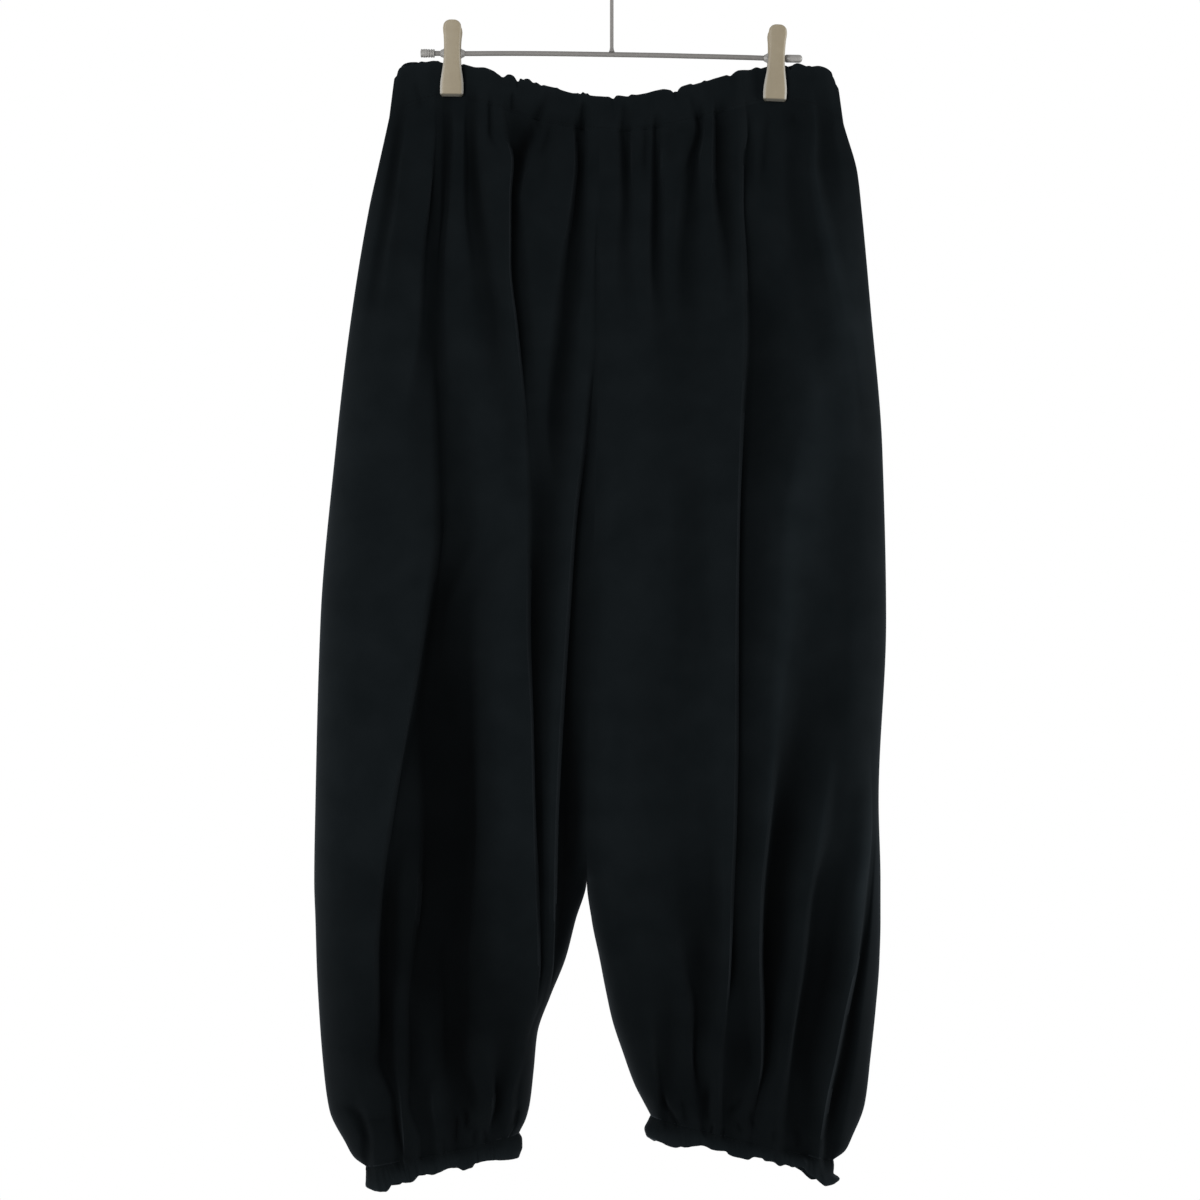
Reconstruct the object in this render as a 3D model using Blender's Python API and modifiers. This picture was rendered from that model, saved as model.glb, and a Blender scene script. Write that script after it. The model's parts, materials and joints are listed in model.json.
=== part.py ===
"""Black gathered harem trousers hanging from a clip hanger.

Units in this file are millimetres, turned to metres where a mesh is made.
The origin is the inner top of the hanger's hook, where a rail carries it.
+Z is up, the front faces -Y, and +X is the wearer's left.

The cloth is cut as four leg panels, a two-part waist casing and two cuffs.
Heights on the cloth are written as `fall`: millimetres below the waist seam.
"""
import math

import bmesh
import bpy
import numpy as np

MM = 0.001
SEAM_GAP = 0.3            # clear space between neighbouring pieces
HALF_GAP = SEAM_GAP / 2

# ---- hanger -------------------------------------------------------------
BAR_FALL = 121.6          # bar axis below the hook's inner top
BAR_RADIUS = 2.0
BAR_LEFT_END = -151.0
BAR_RIGHT_END = 150.5
BAR_TILT = math.radians(0.66)     # the bar hangs a little lower at +X
WIRE_RADIUS = 1.45
HOOK_INNER_RADIUS = 20.0
HOOK_TIP_ANGLE = 205.0
HOOK_NECK_ANGLE = -48.0
HOOK_ARC_POINTS = 19
NECK_REACH = 13.0         # handles of the bend between the hook and the stem
NECK_POINTS = 8
STEM_TOP_FALL = 66.0

CLIP_X = {"right": -128.0, "left": 131.5}
CLIP_LEAN = {"right": 0.0, "left": math.radians(1.8)}
BARREL_RADIUS = 4.1
BARREL_LENGTH = 19.2
BARREL_BORE = BAR_RADIUS + SEAM_GAP
# Jaw stations: height from the bar, half width, depth of the inner face.
JAW_SECTIONS = (
    # height, half_width, inner_face
    (26.5, 5.6, 9.4),
    (22.5, 7.3, 8.7),
    (12.0, 7.0, 6.4),
    (0.0, 6.5, 4.8),
    (-12.0, 7.2, 4.2),
    (-24.0, 8.8, 3.5),
    (-31.0, 9.4, 3.3),
    (-36.5, 9.5, 3.7),
)
JAW_THICKNESS = 3.4
JAW_CROWN = 0.8           # the middle of a jaw stands this much prouder
JAW_COLUMNS = 4
JAW_EDGE_BEVEL = 0.8
JAW_EDGE_ANGLE = math.radians(50)

STOPPERS = {
    # end of the bar: outer radius, length
    "right": (3.6, 11.6),
    "left": (2.9, 9.0),
}
STOPPER_BORE = BAR_RADIUS + SEAM_GAP
STOPPER_FLOOR = 1.6
STOPPER_CHAMFER = 1.0
ROUND_STEPS = 16          # sides of a turned piece

# ---- cloth --------------------------------------------------------------
CLOTH = 1.6               # wall of a leg panel
CASING_WALL = 1.7         # plain inner part of the gathered casings
WAIST_SEAM_FALL = 171.2   # nominal waist seam below the origin
CASING_HEIGHT = 28.6
CASING_TAPER = 4.0        # each end of the casing leans in to its top
WAIST_SAG = 27.5          # how far the waist hangs down between the clips
WAIST_TILT = 0.0085       # waist line is lower at +X, per millimetre
SHOULDER_DROP = 10.0      # waist seam falls away outside the clips
CORNER_DROP = 4.0         # rounded upper corner of the casing
SHOULDER_REACH = 40.0
CLIP_LINE = 15.0          # waist seam rises this far at the clips
WAIST_FADE = 220.0        # rows below this fall don't follow the waist's sag
CUFF_LEAD = 640.0         # rows below this fall lean towards the cuff's slope
SHARP_EDGE = math.radians(60)

CROTCH_FALL = 610.0
CROTCH_RISE = 50.0        # height over which the centre seam tucks under
CENTRE_REACH = 6.0        # the wall squares up to the centre seam in this
PINCH_WIDTH = 24.0
PINCH_FADE = 70.0
PINCHED_DEPTH = 2.6
SIDE_ROUND = 34.0         # distance over which the cloth turns at a side
INSEAM_ROUND = 26.0
SIDE_FLATNESS = 0.76      # depth beside the rounding, to the middle's 1

# Outline of the trousers seen from the front, with their half depths.
OUTLINE_COLUMNS = ("fall", "right_side", "right_inseam", "left_inseam",
                   "left_side", "front_depth", "back_depth")
OUTLINE = np.array((
    (0, -178, -10, -10, 184, 13, 12),
    (34, -186, -10, -10, 195, 17, 15),
    (66, -193, -10, -10, 200, 21, 19),
    (154, -207, -9, -9, 207.5, 28, 26),
    (266, -221, -12, -12, 216.5, 34, 32),
    (402, -233, -16, -16, 219.5, 38, 36),
    (546, -237, -19, -19, 213.5, 40, 38),
    (610, -238, -20, -20, 215, 40, 38),
    (642, -237, -29, -16, 215, 40, 38),
    (674, -236, -37, -10, 214, 40, 38),
    (706, -234, -49, -5, 212, 39, 37),
    (738, -231, -59, 2, 209, 37, 35),
    (770, -226, -63, 13, 204, 33, 31),
    (796, -214, -66, 22, 196, 26, 25),
    (818, -199, -71, 28, 187, 18, 18),
), float)
HEM_FALL = OUTLINE[-1, 0]

# Lines of the folds, from the side seam to the centre, for each front panel.
# A line has its place across, then how deep it lies under the envelope, at
# each of these falls. Deep lines are valleys and shallow ones are ridges.
FOLD_FALLS = np.array((0, 66, 154, 266, 402, 546, 674, 770, 818), float)
FOLDS = {
    "right": (
        # name, places across at FOLD_FALLS, depths at FOLD_FALLS
        ("rim ridge", (-176, -187, -201, -214, -225, -229, -228, -219, -195),
         (0, 0, 0, 0, 0, 0, 0, 0, 0)),
        ("rim valley", (-168, -178, -193, -202, -211, -214, -213, -208, -190),
         (4, 5, 3, 0, 0, 0, 0, 0, 3)),
        ("outer panel", (-157, -165, -176, -173, -182, -197, -202, -200, -184),
         (0, 0, 0, 0, 0, 0, 0, 0, 0)),
        ("outer panel edge", (-143, -153, -158, -144, -150, -178, -190, -193, -179),
         (0, 0, 0, 0, 0, 0, 0, 0, 1)),
        ("outer valley", (-134, -145, -146, -135, -140, -170, -180, -181, -174),
         (5, 9, 9, 9, 13, 11, 15, 14, 4)),
        ("knee pleat", (-131, -141, -138, -130, -133, -162, -166, -167, -160),
         (4, 7, 7, 8, 12, 9, 9, 7, 1)),
        ("low pleat", (-127, -137, -133, -126, -127, -146, -150, -141, -147),
         (3, 5, 5, 7, 12, 15, 15, 8, 0)),
        ("hollow", (-122, -128, -121, -118, -118, -131, -133, -128, -134),
         (1, 0, 0, 4, 9, 14, 15, 14, 4)),
        ("hip valley", (-109, -114, -99, -99, -100, -105, -106, -96, -110),
         (5, 7, 4, 1, 3, 6, 6, 2, 0)),
        ("cuff valley", (-99, -101, -90, -86, -84, -86, -86, -85, -96),
         (2, 2, 2, 1, 1, 2, 3, 8, 4)),
        ("broad ridge", (-90, -91, -81, -71, -68, -67, -66, -76, -88),
         (0, 0, 0, 0, 0, 0, 0, 2, 0)),
        ("inner valley", (-78, -82, -73, -64, -60, -58, -57, -73, -83),
         (5, 9, 9, 6, 9, 10, 7, 3, 1)),
        ("short ridge", (-45, -42, -49, -57, -55, -54, -53, -71, -80),
         (0, 0, 0, 3, 8, 7, 6, 2, 0)),
        ("short valley", (-23, -33, -37, -47, -50, -50, -50, -69, -77),
         (6, 9, 8, 6, 6, 5, 5, 1, 1)),
        ("rise ridge", (-17, -18, -19, -26, -37, -46, -47, -67, -75),
         (1, 0, 0, 0, 1, 3, 4, 1, 0)),
        ("rise valley", (-14, -14, -14, -19, -30, -37, -43, -65.5, -73),
         (2, 1, 2, 7, 9, 10, 7, 1, 0)),
    ),
    "left": (
        ("side valley", (182, 193, 202, 212, 214, 209, 201, 188, 176),
         (0, 0, 0, 0, 0, 4, 8, 9, 4)),
        ("thin ridge", (180, 189, 200, 209, 211, 206, 193, 181, 166),
         (0, 0, 0, 0, 0, 0, 0, 0, 0)),
        ("shin valley", (178, 184, 197, 205, 205, 190, 166, 157, 146),
         (0, 0, 0, 0, 1, 3, 11, 12, 5)),
        ("pocket valley", (174, 175, 193, 198, 187, 175, 150, 140, 132),
         (5, 5, 2, 0, 3, 0, 0, 0, 0)),
        ("pocket ridge", (166, 166, 186, 189, 160, 135, 125, 126, 116),
         (0, 0, 0, 0, 3, 11, 13, 12, 5)),
        ("long ridge", (148, 144, 155, 165, 142, 125, 116, 114, 107),
         (3, 3, 2, 0, 0, 0, 0, 0, 0)),
        ("thigh panel", (131, 128, 134, 128, 122, 113, 107, 107, 100),
         (0, 0, 0, 1, 2, 3, 4, 7, 2)),
        ("crease", (108, 104, 109, 108, 106, 101, 97, 101, 92),
         (5, 7, 9, 9, 9, 8, 8, 9, 3)),
        ("crease edge", (102, 97, 103, 103, 100, 95, 92, 94, 86),
         (0, 0, 0, 0, 0, 0, 0, 8, 2)),
        ("fourth valley", (88, 84, 98, 98, 97, 92, 89, 88, 80),
         (6, 7, 1, 0, 0, 0, 1, 4, 3)),
        ("fourth ridge", (79, 73, 83, 91, 93, 88, 85, 80, 74),
         (0, 0, 0, 0, 0, 0, 2, 0, 0)),
        ("third valley", (70, 54, 55, 72, 80, 74, 69, 66, 59),
         (7, 6, 3, 1, 1, 3, 7, 10, 4)),
        ("third ridge", (51, 42, 46, 62, 69, 62, 53, 58, 52),
         (0, 0, 0, 0, 0, 1, 3, 2, 0)),
        ("second valley", (32, 29, 35, 53, 58, 53, 42, 47, 46),
         (5, 8, 3, 1, 1, 1, 1, 6, 3)),
        ("second ridge", (22, 19, 20, 38, 45, 42, 30, 38, 42),
         (0, 0, 0, 0, 0, 0, 0, 4, 0)),
        ("first valley", (14, 7, 7, 22, 30, 29, 19, 30, 38),
         (6, 6, 2, 0, 0, 0, 0, 0, 2)),
        ("centre ridge", (-1, -6, -3, 8, 13, 10, 6, 24, 34),
         (0, 0, 0, 0, 0, 0, 0, 1, 1)),
    ),
}
CENTRE_DEPTHS = np.array((0, 0, 0, 1, 2, 3, 3, 0, 0), float)
BACK_FOLD_SCALE = 0.85
LEAST_FOLD_SPACING = 1.3

# Rows of a leg panel, closer together round the crotch and above the cuff.
PANEL_FALLS = np.array((0, 26, 66, 114, 178, 250, 330, 410, 490, 562, 595,
                        606, 610, 630, 674, 722, 762, 794, 818), float)
WIDE_INTERVAL = 14.0      # a wider space between folds gets one more column
ROUNDED_EDGE_STEPS = (0.12, 0.46)

WAIST_GATHERS = 28        # on the front, and as many on the back
WAIST_GATHER_HEIGHT = 2.0
CASING_FULLNESS = 0.8     # the elastic rounds the middle of a casing out
CASING_SIDE_ROUND = 8.5   # gathers die away over this distance at the side seams
CLIPPED_GATHER = 0.1      # share of a gather's height left under a clip
CUFF_GATHERS = 12         # on each face of a cuff
CUFF_GATHER_HEIGHT = 1.8
CUFF_SIDE_ROUND = 6.5
COLUMNS_PER_GATHER = 4
# Gathers crowd and open out along two slow waves: waves per casing, start.
GATHER_DRIFTS = ((3.1, 0.0), (7.3, 1.0))
GATHER_DRIFT = 0.14       # gathers that such a wave runs ahead or behind
GATHER_HEIGHT_DRIFT = 0.25
GATHER_HEIGHT_TURN = 2.4

CUFFS = {
    # corners as (across, fall): seam inner, seam outer, hem inner, hem outer
    "right": ((-71.5, 811), (-199, 839), (-74, 831), (-193, 858)),
    "left": ((27.5, 798), (187, 826), (30, 816), (181, 851)),
}
CUFF_DEPTH = 15.0
CUFF_HEM_FLARE = 1.12
CUFF_HEM_BOW = 4.0        # the middle of the hem lies higher than its ends

COLOURS = {
    # name: colour, roughness, metallic
    "black cloth": ((0.006, 0.007, 0.008), 0.85, 0.0),
    "steel": ((0.30, 0.29, 0.28), 0.35, 1.0),
    "taupe plastic": ((0.34, 0.29, 0.21), 0.45, 0.0),
    "clear plastic": ((0.75, 0.75, 0.74), 0.25, 0.0),
}
SIDES = {"right": -1.0, "left": 1.0}


# ---- smooth curves ------------------------------------------------------
def curve_slopes(places, values):
    """Slopes that keep a cubic flat at each ridge and valley."""
    step = np.diff(places)[:, None]
    rise = np.diff(values, axis=0) / step
    slopes = np.zeros_like(values)
    before, after = rise[:-1], rise[1:]
    first = 2 * step[1:] + step[:-1]
    second = step[1:] + 2 * step[:-1]
    turning = before * after <= 0
    safe_before = np.where(turning, 1.0, before)
    safe_after = np.where(turning, 1.0, after)
    mean = (first + second) / (first / safe_before + second / safe_after)
    slopes[1:-1] = np.where(turning, 0.0, mean)
    slopes[0], slopes[-1] = rise[0], rise[-1]
    return slopes


def curve_through(places, values, at):
    """Read smooth columns of values, known at places, at other places."""
    places = np.asarray(places, float)
    values = np.asarray(values, float)
    columns = values if values.ndim == 2 else values[:, None]
    slopes = curve_slopes(places, columns)
    at = np.atleast_1d(np.clip(at, places[0], places[-1]))
    low = np.clip(np.searchsorted(places, at, side="right") - 1, 0, len(places) - 2)
    step = (places[low + 1] - places[low])[:, None]
    t = (at - places[low])[:, None] / step
    read = ((1 + 2 * t) * (1 - t) ** 2 * columns[low]
            + t * (1 - t) ** 2 * step * slopes[low]
            + t * t * (3 - 2 * t) * columns[low + 1]
            + t * t * (t - 1) * step * slopes[low + 1])
    return read if values.ndim == 2 else read[:, 0]


def outline(column, fall):
    index = OUTLINE_COLUMNS.index(column)
    return curve_through(OUTLINE[:, 0], OUTLINE[:, index], fall)


def ease(t):
    t = np.clip(t, 0.0, 1.0)
    return t * t * (3 - 2 * t)


# ---- form of the cloth --------------------------------------------------
def waist_shift(across, level=0.0):
    """How far the waist sags at `across`; level 0 is the seam, 1 the top."""
    middle = (CLIP_X["right"] + CLIP_X["left"]) / 2
    half = (CLIP_X["left"] - CLIP_X["right"]) / 2
    inside = np.clip(1 - ((across - middle) / half) ** 2, 0, 1)
    sag = WAIST_SAG * inside ** 1.5
    outside = np.clip((np.abs(across - middle) - half) / SHOULDER_REACH, 0, None)
    shoulder = (1 - level) * SHOULDER_DROP * outside ** 2
    corner = level * CORNER_DROP * outside ** 6
    return sag + shoulder + corner - CLIP_LINE + WAIST_TILT * (across - middle)


def pinch(across, fall):
    """Share of the depth that the clips leave, from 0 to 1."""
    held = sum(np.exp(-((across - x) / PINCH_WIDTH) ** 4) for x in CLIP_X.values())
    return 1 - held * np.exp(-fall / PINCH_FADE)


def turned_edge(distance, reach, share=1.0):
    """Quarter-ellipse depth near an edge; share 0 leaves the edge standing."""
    t = np.clip(distance / reach, 0, 1)
    return np.sqrt(np.clip(1 - share * (1 - t) ** 2, 0, 1))


def crotch_share(fall):
    """1 where the two legs are apart, fading to 0 above the crotch."""
    above = np.clip((CROTCH_FALL - fall) / CROTCH_RISE, 0, 1)
    return (1 - above) ** 2


def fold_lines(leg, face, fall):
    """Places and depths of the fold lines of a panel, side edge to centre."""
    fall = np.atleast_1d(fall)
    source = leg if face == "front" else ("left" if leg == "right" else "right")

    def edges(name):
        inner = outline(f"{name}_inseam", FOLD_FALLS)
        return outline(f"{name}_side", FOLD_FALLS)[:, None], inner[:, None]

    places = np.array([row[1] for row in FOLDS[source]], float).T
    depths = np.array([row[2] for row in FOLDS[source]], float).T
    if face == "back":
        side, inner = edges(source)
        share = (places - side) / (inner - side)
        side, inner = edges(leg)
        places = side + share * (inner - side)
        depths = depths * BACK_FOLD_SCALE
    places = curve_through(FOLD_FALLS, places, fall)
    depths = curve_through(FOLD_FALLS, depths, fall)
    side = outline(f"{leg}_side", fall)
    inner = outline(f"{leg}_inseam", fall)
    centre_depth = curve_through(FOLD_FALLS, CENTRE_DEPTHS, fall)
    places = np.column_stack((side, places, inner))
    depths = np.column_stack((depths[:, 0], depths, centre_depth))
    inward = -SIDES[leg]
    for i in range(1, places.shape[1] - 1):
        least = places[:, i - 1] * inward + LEAST_FOLD_SPACING
        places[:, i] = np.maximum(places[:, i] * inward, least) * inward
    for i in range(places.shape[1] - 2, 0, -1):
        most = places[:, i + 1] * inward - LEAST_FOLD_SPACING
        places[:, i] = np.minimum(places[:, i] * inward, most) * inward
    return places, depths


def cloth_depth(leg, face, fall, across, fold_depth):
    """Distance of a panel's outer side from the middle plane."""
    side = outline(f"{leg}_side", fall)[:, None]
    inner = outline(f"{leg}_inseam", fall)[:, None]
    from_side = np.abs(across - side)
    from_inner = np.abs(inner - across)
    share_across = from_side / np.abs(inner - side)
    arch = SIDE_FLATNESS + (1 - SIDE_FLATNESS) * np.sin(np.pi * np.minimum(share_across, 0.5))
    envelope = outline(f"{face}_depth", fall)[:, None] * arch
    depth = envelope - fold_depth
    column = fall[:, None]
    depth = PINCHED_DEPTH + (depth - PINCHED_DEPTH) * pinch(across, column)
    depth = depth * turned_edge(from_side, SIDE_ROUND)
    return depth * turned_edge(from_inner, INSEAM_ROUND, crotch_share(column))


def cuff_seam_fall(leg, across):
    (x_in, fall_in), (x_out, fall_out) = CUFFS[leg][:2]
    return fall_in + (fall_out - fall_in) * (across - x_in) / (x_out - x_in)


def hung_fall(leg, fall, across):
    """Real fall of a panel point, from its row's nominal one."""
    waist = waist_shift(across) * np.clip(1 - fall / WAIST_FADE, 0, 1) ** 2
    near_cuff = ease((fall - CUFF_LEAD) / (HEM_FALL - CUFF_LEAD))
    return fall + waist + (cuff_seam_fall(leg, across) - HEM_FALL) * near_cuff


def column_plan(leg, face):
    """Columns of a panel as (fold line, share of the way to the next)."""
    places, _ = fold_lines(leg, face, PANEL_FALLS)
    widths = np.abs(np.diff(places, axis=1)).max(axis=0)
    plan = []
    last = len(widths) - 1
    for i, width in enumerate(widths):
        plan.append((i, 0.0))
        if i == 0:
            plan += [(i, share) for share in ROUNDED_EDGE_STEPS]
        elif i == last:
            plan += [(i, 1 - share) for share in reversed(ROUNDED_EDGE_STEPS)]
        elif width > WIDE_INTERVAL:
            plan.append((i, 0.5))
    plan.append((last, 1.0))
    return plan


def panel_points(leg, face, falls, plan):
    """Outer points of a panel, as rows down the leg and columns across."""
    lines, line_depths = fold_lines(leg, face, falls)
    index = np.array([i for i, _ in plan])
    share = np.array([s for _, s in plan])
    across = lines[:, index] + share * (lines[:, index + 1] - lines[:, index])
    folds = np.empty_like(across)
    inward = -SIDES[leg]
    for row in range(len(falls)):
        folds[row] = curve_through(lines[row] * inward, line_depths[row],
                                   across[row] * inward)
    depth = cloth_depth(leg, face, falls, across, folds)
    fall = hung_fall(leg, falls[:, None], across)
    facing = -1.0 if face == "front" else 1.0
    return np.stack((across, facing * (HALF_GAP + depth), -WAIST_SEAM_FALL - fall), axis=2)


def grid_normals(points):
    """Unit normals of a grid of points, along the side that faces out."""
    down = np.gradient(points, axis=0)
    over = np.gradient(points, axis=1)
    normals = np.cross(down, over)
    return normals / np.maximum(np.linalg.norm(normals, axis=2, keepdims=True), 1e-9)


# ---- meshes -------------------------------------------------------------
def material(name):
    found = bpy.data.materials.get(name)
    if found:
        return found
    colour, roughness, metallic = COLOURS[name]
    made = bpy.data.materials.new(name)
    made.use_nodes = True
    shader = made.node_tree.nodes["Principled BSDF"]
    shader.inputs["Base Color"].default_value = (*colour, 1.0)
    shader.inputs["Roughness"].default_value = roughness
    shader.inputs["Metallic"].default_value = metallic
    return made


def add_object(name, data, finish, collection):
    data.materials.append(material(finish))
    made = bpy.data.objects.new(name, data)
    collection.objects.link(made)
    return made


def wall_mesh(name, outer, inner, closed):
    """Loft a wall between an outer and an inner grid of points."""
    rows, columns = outer.shape[:2]
    bm = bmesh.new()
    out = [[bm.verts.new(p * MM) for p in row] for row in outer]
    into = [[bm.verts.new(p * MM) for p in row] for row in inner]
    spans = columns if closed else columns - 1
    for r in range(rows - 1):
        for c in range(spans):
            n = (c + 1) % columns
            bm.faces.new((out[r][c], out[r + 1][c], out[r + 1][n], out[r][n]))
            bm.faces.new((into[r][n], into[r + 1][n], into[r + 1][c], into[r][c]))
    for c in range(spans):
        n = (c + 1) % columns
        bm.faces.new((out[0][c], out[0][n], into[0][n], into[0][c]))
        bm.faces.new((into[-1][c], into[-1][n], out[-1][n], out[-1][c]))
    if not closed:
        for r in range(rows - 1):
            bm.faces.new((into[r][0], into[r + 1][0], out[r + 1][0], out[r][0]))
            bm.faces.new((out[r][-1], out[r + 1][-1], into[r + 1][-1], into[r][-1]))
    bmesh.ops.recalc_face_normals(bm, faces=bm.faces)
    mesh = bpy.data.meshes.new(name)
    bm.to_mesh(mesh)
    bm.free()
    mesh.shade_smooth()
    mesh.set_sharp_from_angle(angle=SHARP_EDGE)
    return mesh


def trim_to_seams(points, leg):
    """Draw a panel back from its waist, cuff and centre seams by half a gap."""
    inward = -SIDES[leg]
    points[0, :, 2] -= HALF_GAP
    points[-1, :, 2] += HALF_GAP
    points[:, -1, 0] -= inward * HALF_GAP
    return points


def leg_panel(leg, face, collection):
    """One cut panel of a leg, from side seam to centre seam and inseam."""
    plan = column_plan(leg, face)
    outer = trim_to_seams(panel_points(leg, face, PANEL_FALLS, plan), leg)
    normals = grid_normals(outer)
    facing = -1.0 if face == "front" else 1.0
    normals *= np.sign((normals[:, :, 1] * facing).sum())
    normals[0, :, 2] = 0.0
    normals[-1, :, 2] = 0.0
    normals[:, 0, 1:] = 0.0
    apart = PANEL_FALLS >= CROTCH_FALL
    normals[apart, -1, 1] = 0.0
    normals[~apart, -1, 0] = 0.0
    from_centre = np.abs(outer[:, :, 0] - outer[:, -1:, 0])
    normals[~apart, :, 0] *= np.clip(from_centre[~apart] / CENTRE_REACH, 0, 1)
    crotch = int(np.argmax(apart))
    normals[crotch, -1] = (0.0, 0.0, -1.0)
    normals /= np.linalg.norm(normals, axis=2, keepdims=True)
    inner = outer - CLOTH * normals
    waist_fall = hung_fall(leg, PANEL_FALLS[0], inner[0, :, 0])
    cuff_fall = hung_fall(leg, PANEL_FALLS[-1], inner[-1, :, 0])
    inner[0, :, 2] = -WAIST_SEAM_FALL - waist_fall - HALF_GAP
    inner[-1, :, 2] = -WAIST_SEAM_FALL - cuff_fall + HALF_GAP
    mesh = wall_mesh(f"{face}_leg_{leg}", outer, inner, closed=False)
    return add_object(f"{face}_leg_{leg}", mesh, "black cloth", collection)


def gather_places(count, low, high):
    """Places of the columns of unevenly spaced gathers, and their wave."""
    steps = np.linspace(0, count, count * COLUMNS_PER_GATHER + 1)
    t = steps / count
    drift = sum(np.sin(2 * np.pi * waves * t + start) for waves, start in GATHER_DRIFTS)
    drift = GATHER_DRIFT * (drift - drift[0] - (drift[-1] - drift[0]) * t)
    share = t - drift / count
    wave = 0.5 - 0.5 * np.cos(2 * np.pi * steps)
    uneven = 1 - GATHER_HEIGHT_DRIFT * (1 - np.sin(steps * GATHER_HEIGHT_TURN))
    return low + (high - low) * share, wave * uneven


def waist_depth(face, across, level):
    """Depth of the casing, from the panels' folds at its seam to a plain top."""
    centre = OUTLINE[0, OUTLINE_COLUMNS.index("left_inseam")]
    top = np.zeros(1)
    depth = np.empty_like(across)
    for leg, side in SIDES.items():
        chosen = (across < centre) == (side < 0)
        lines, line_depths = fold_lines(leg, face, top)
        places = across[chosen]
        folds = curve_through(-side * lines[0], line_depths[0], -side * places)
        folds = folds * (1 - level) + level
        depth[chosen] = cloth_depth(leg, face, top, places[None, :], folds[None, :])[0]
    return depth


def waistband(face, collection):
    """Half of the elastic casing, side seam to side seam."""
    facing = -1.0 if face == "front" else 1.0
    outer, inner = [], []
    for level, fullness in ((0.0, 0.0), (0.5, 1.0), (1.0, 0.0)):
        low = OUTLINE[0, 1] + CASING_TAPER * level
        high = OUTLINE[0, 4] - CASING_TAPER * level
        middle = (low + high) / 2
        across, wave = gather_places(WAIST_GATHERS, low, high)
        stretch = (OUTLINE[0, 4] - OUTLINE[0, 1]) / (high - low)
        seam_place = middle + (across - middle) * stretch
        plain = waist_depth(face, seam_place, level)
        free = CLIPPED_GATHER + pinch(across, 0.0)
        from_side = np.minimum(across - low, high - across)
        raised = free * (WAIST_GATHER_HEIGHT * wave + CASING_FULLNESS * fullness)
        raised *= turned_edge(from_side, CASING_SIDE_ROUND)
        rise = CASING_HEIGHT * level + (HALF_GAP if level == 0 else 0.0)
        drawn_in = middle + (across - middle) * (1 - 2 * CASING_WALL / (high - low))
        depth_in = np.maximum(plain - CASING_WALL, 0.0)
        for rows, places, depth in ((outer, across, plain + raised),
                                    (inner, drawn_in, depth_in)):
            height = rise - WAIST_SEAM_FALL - waist_shift(places, level)
            rows.append(np.column_stack((places, facing * (HALF_GAP + depth), height)))
    mesh = wall_mesh(f"waistband_{face}", np.array(outer), np.array(inner), closed=False)
    return add_object(f"waistband_{face}", mesh, "black cloth", collection)


def cuff(leg, collection):
    """Gathered ring that closes round the ankle."""
    seam_in, seam_out, hem_in, hem_out = (np.array(p, float) for p in CUFFS[leg])
    share, wave = gather_places(CUFF_GATHERS, 0.0, 1.0)
    share = np.concatenate((share[:-1], share[::-1][:-1]))
    wave = np.concatenate((wave[:-1], wave[::-1][:-1]))
    facing = np.repeat((-1.0, 1.0), len(share) // 2)
    outer, inner = [], []
    for level, fullness in ((0.0, 0.0), (0.45, 1.0), (1.0, 0.0)):
        start = seam_in + (hem_in - seam_in) * level
        end = seam_out + (hem_out - seam_out) * level
        width = np.linalg.norm(end - start)
        flare = 1 + (CUFF_HEM_FLARE - 1) * level ** 2
        for rows, wall in ((outer, 0.0), (inner, CASING_WALL)):
            along = wall / width + share * (1 - 2 * wall / width)
            path = start + along[:, None] * (end - start)
            path[:, 1] -= CUFF_HEM_BOW * level * (1 - (2 * along - 1) ** 2)
            edge = np.minimum(along, 1 - along) * width - wall
            depth = (CUFF_DEPTH * flare - wall) * turned_edge(edge, INSEAM_ROUND)
            if wall == 0.0:
                raised = CUFF_GATHER_HEIGHT * wave + CASING_FULLNESS * fullness
                depth = depth + raised * turned_edge(edge, CUFF_SIDE_ROUND)
            fall = path[:, 1] + (HALF_GAP if level == 0 else 0.0)
            rows.append(np.column_stack((path[:, 0], facing * depth, -WAIST_SEAM_FALL - fall)))
    mesh = wall_mesh(f"cuff_{leg}", np.array(outer), np.array(inner), closed=True)
    return add_object(f"cuff_{leg}", mesh, "black cloth", collection)


# ---- hanger -------------------------------------------------------------
def bar_height(across):
    return -BAR_FALL - math.tan(BAR_TILT) * across


def wire(name, points, radius, finish, collection):
    curve = bpy.data.curves.new(name, "CURVE")
    curve.dimensions = "3D"
    curve.bevel_depth = radius * MM
    curve.bevel_resolution = 2
    curve.use_fill_caps = True
    spline = curve.splines.new("POLY")
    spline.points.add(len(points) - 1)
    for point, place in zip(spline.points, points):
        point.co = (*(value * MM for value in place), 1.0)
    return add_object(name, curve, finish, collection)


def hanger_bar(collection):
    ends = [(x, 0.0, bar_height(x)) for x in (BAR_LEFT_END, BAR_RIGHT_END)]
    return wire("hanger_bar", ends, BAR_RADIUS, "steel", collection)


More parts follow.
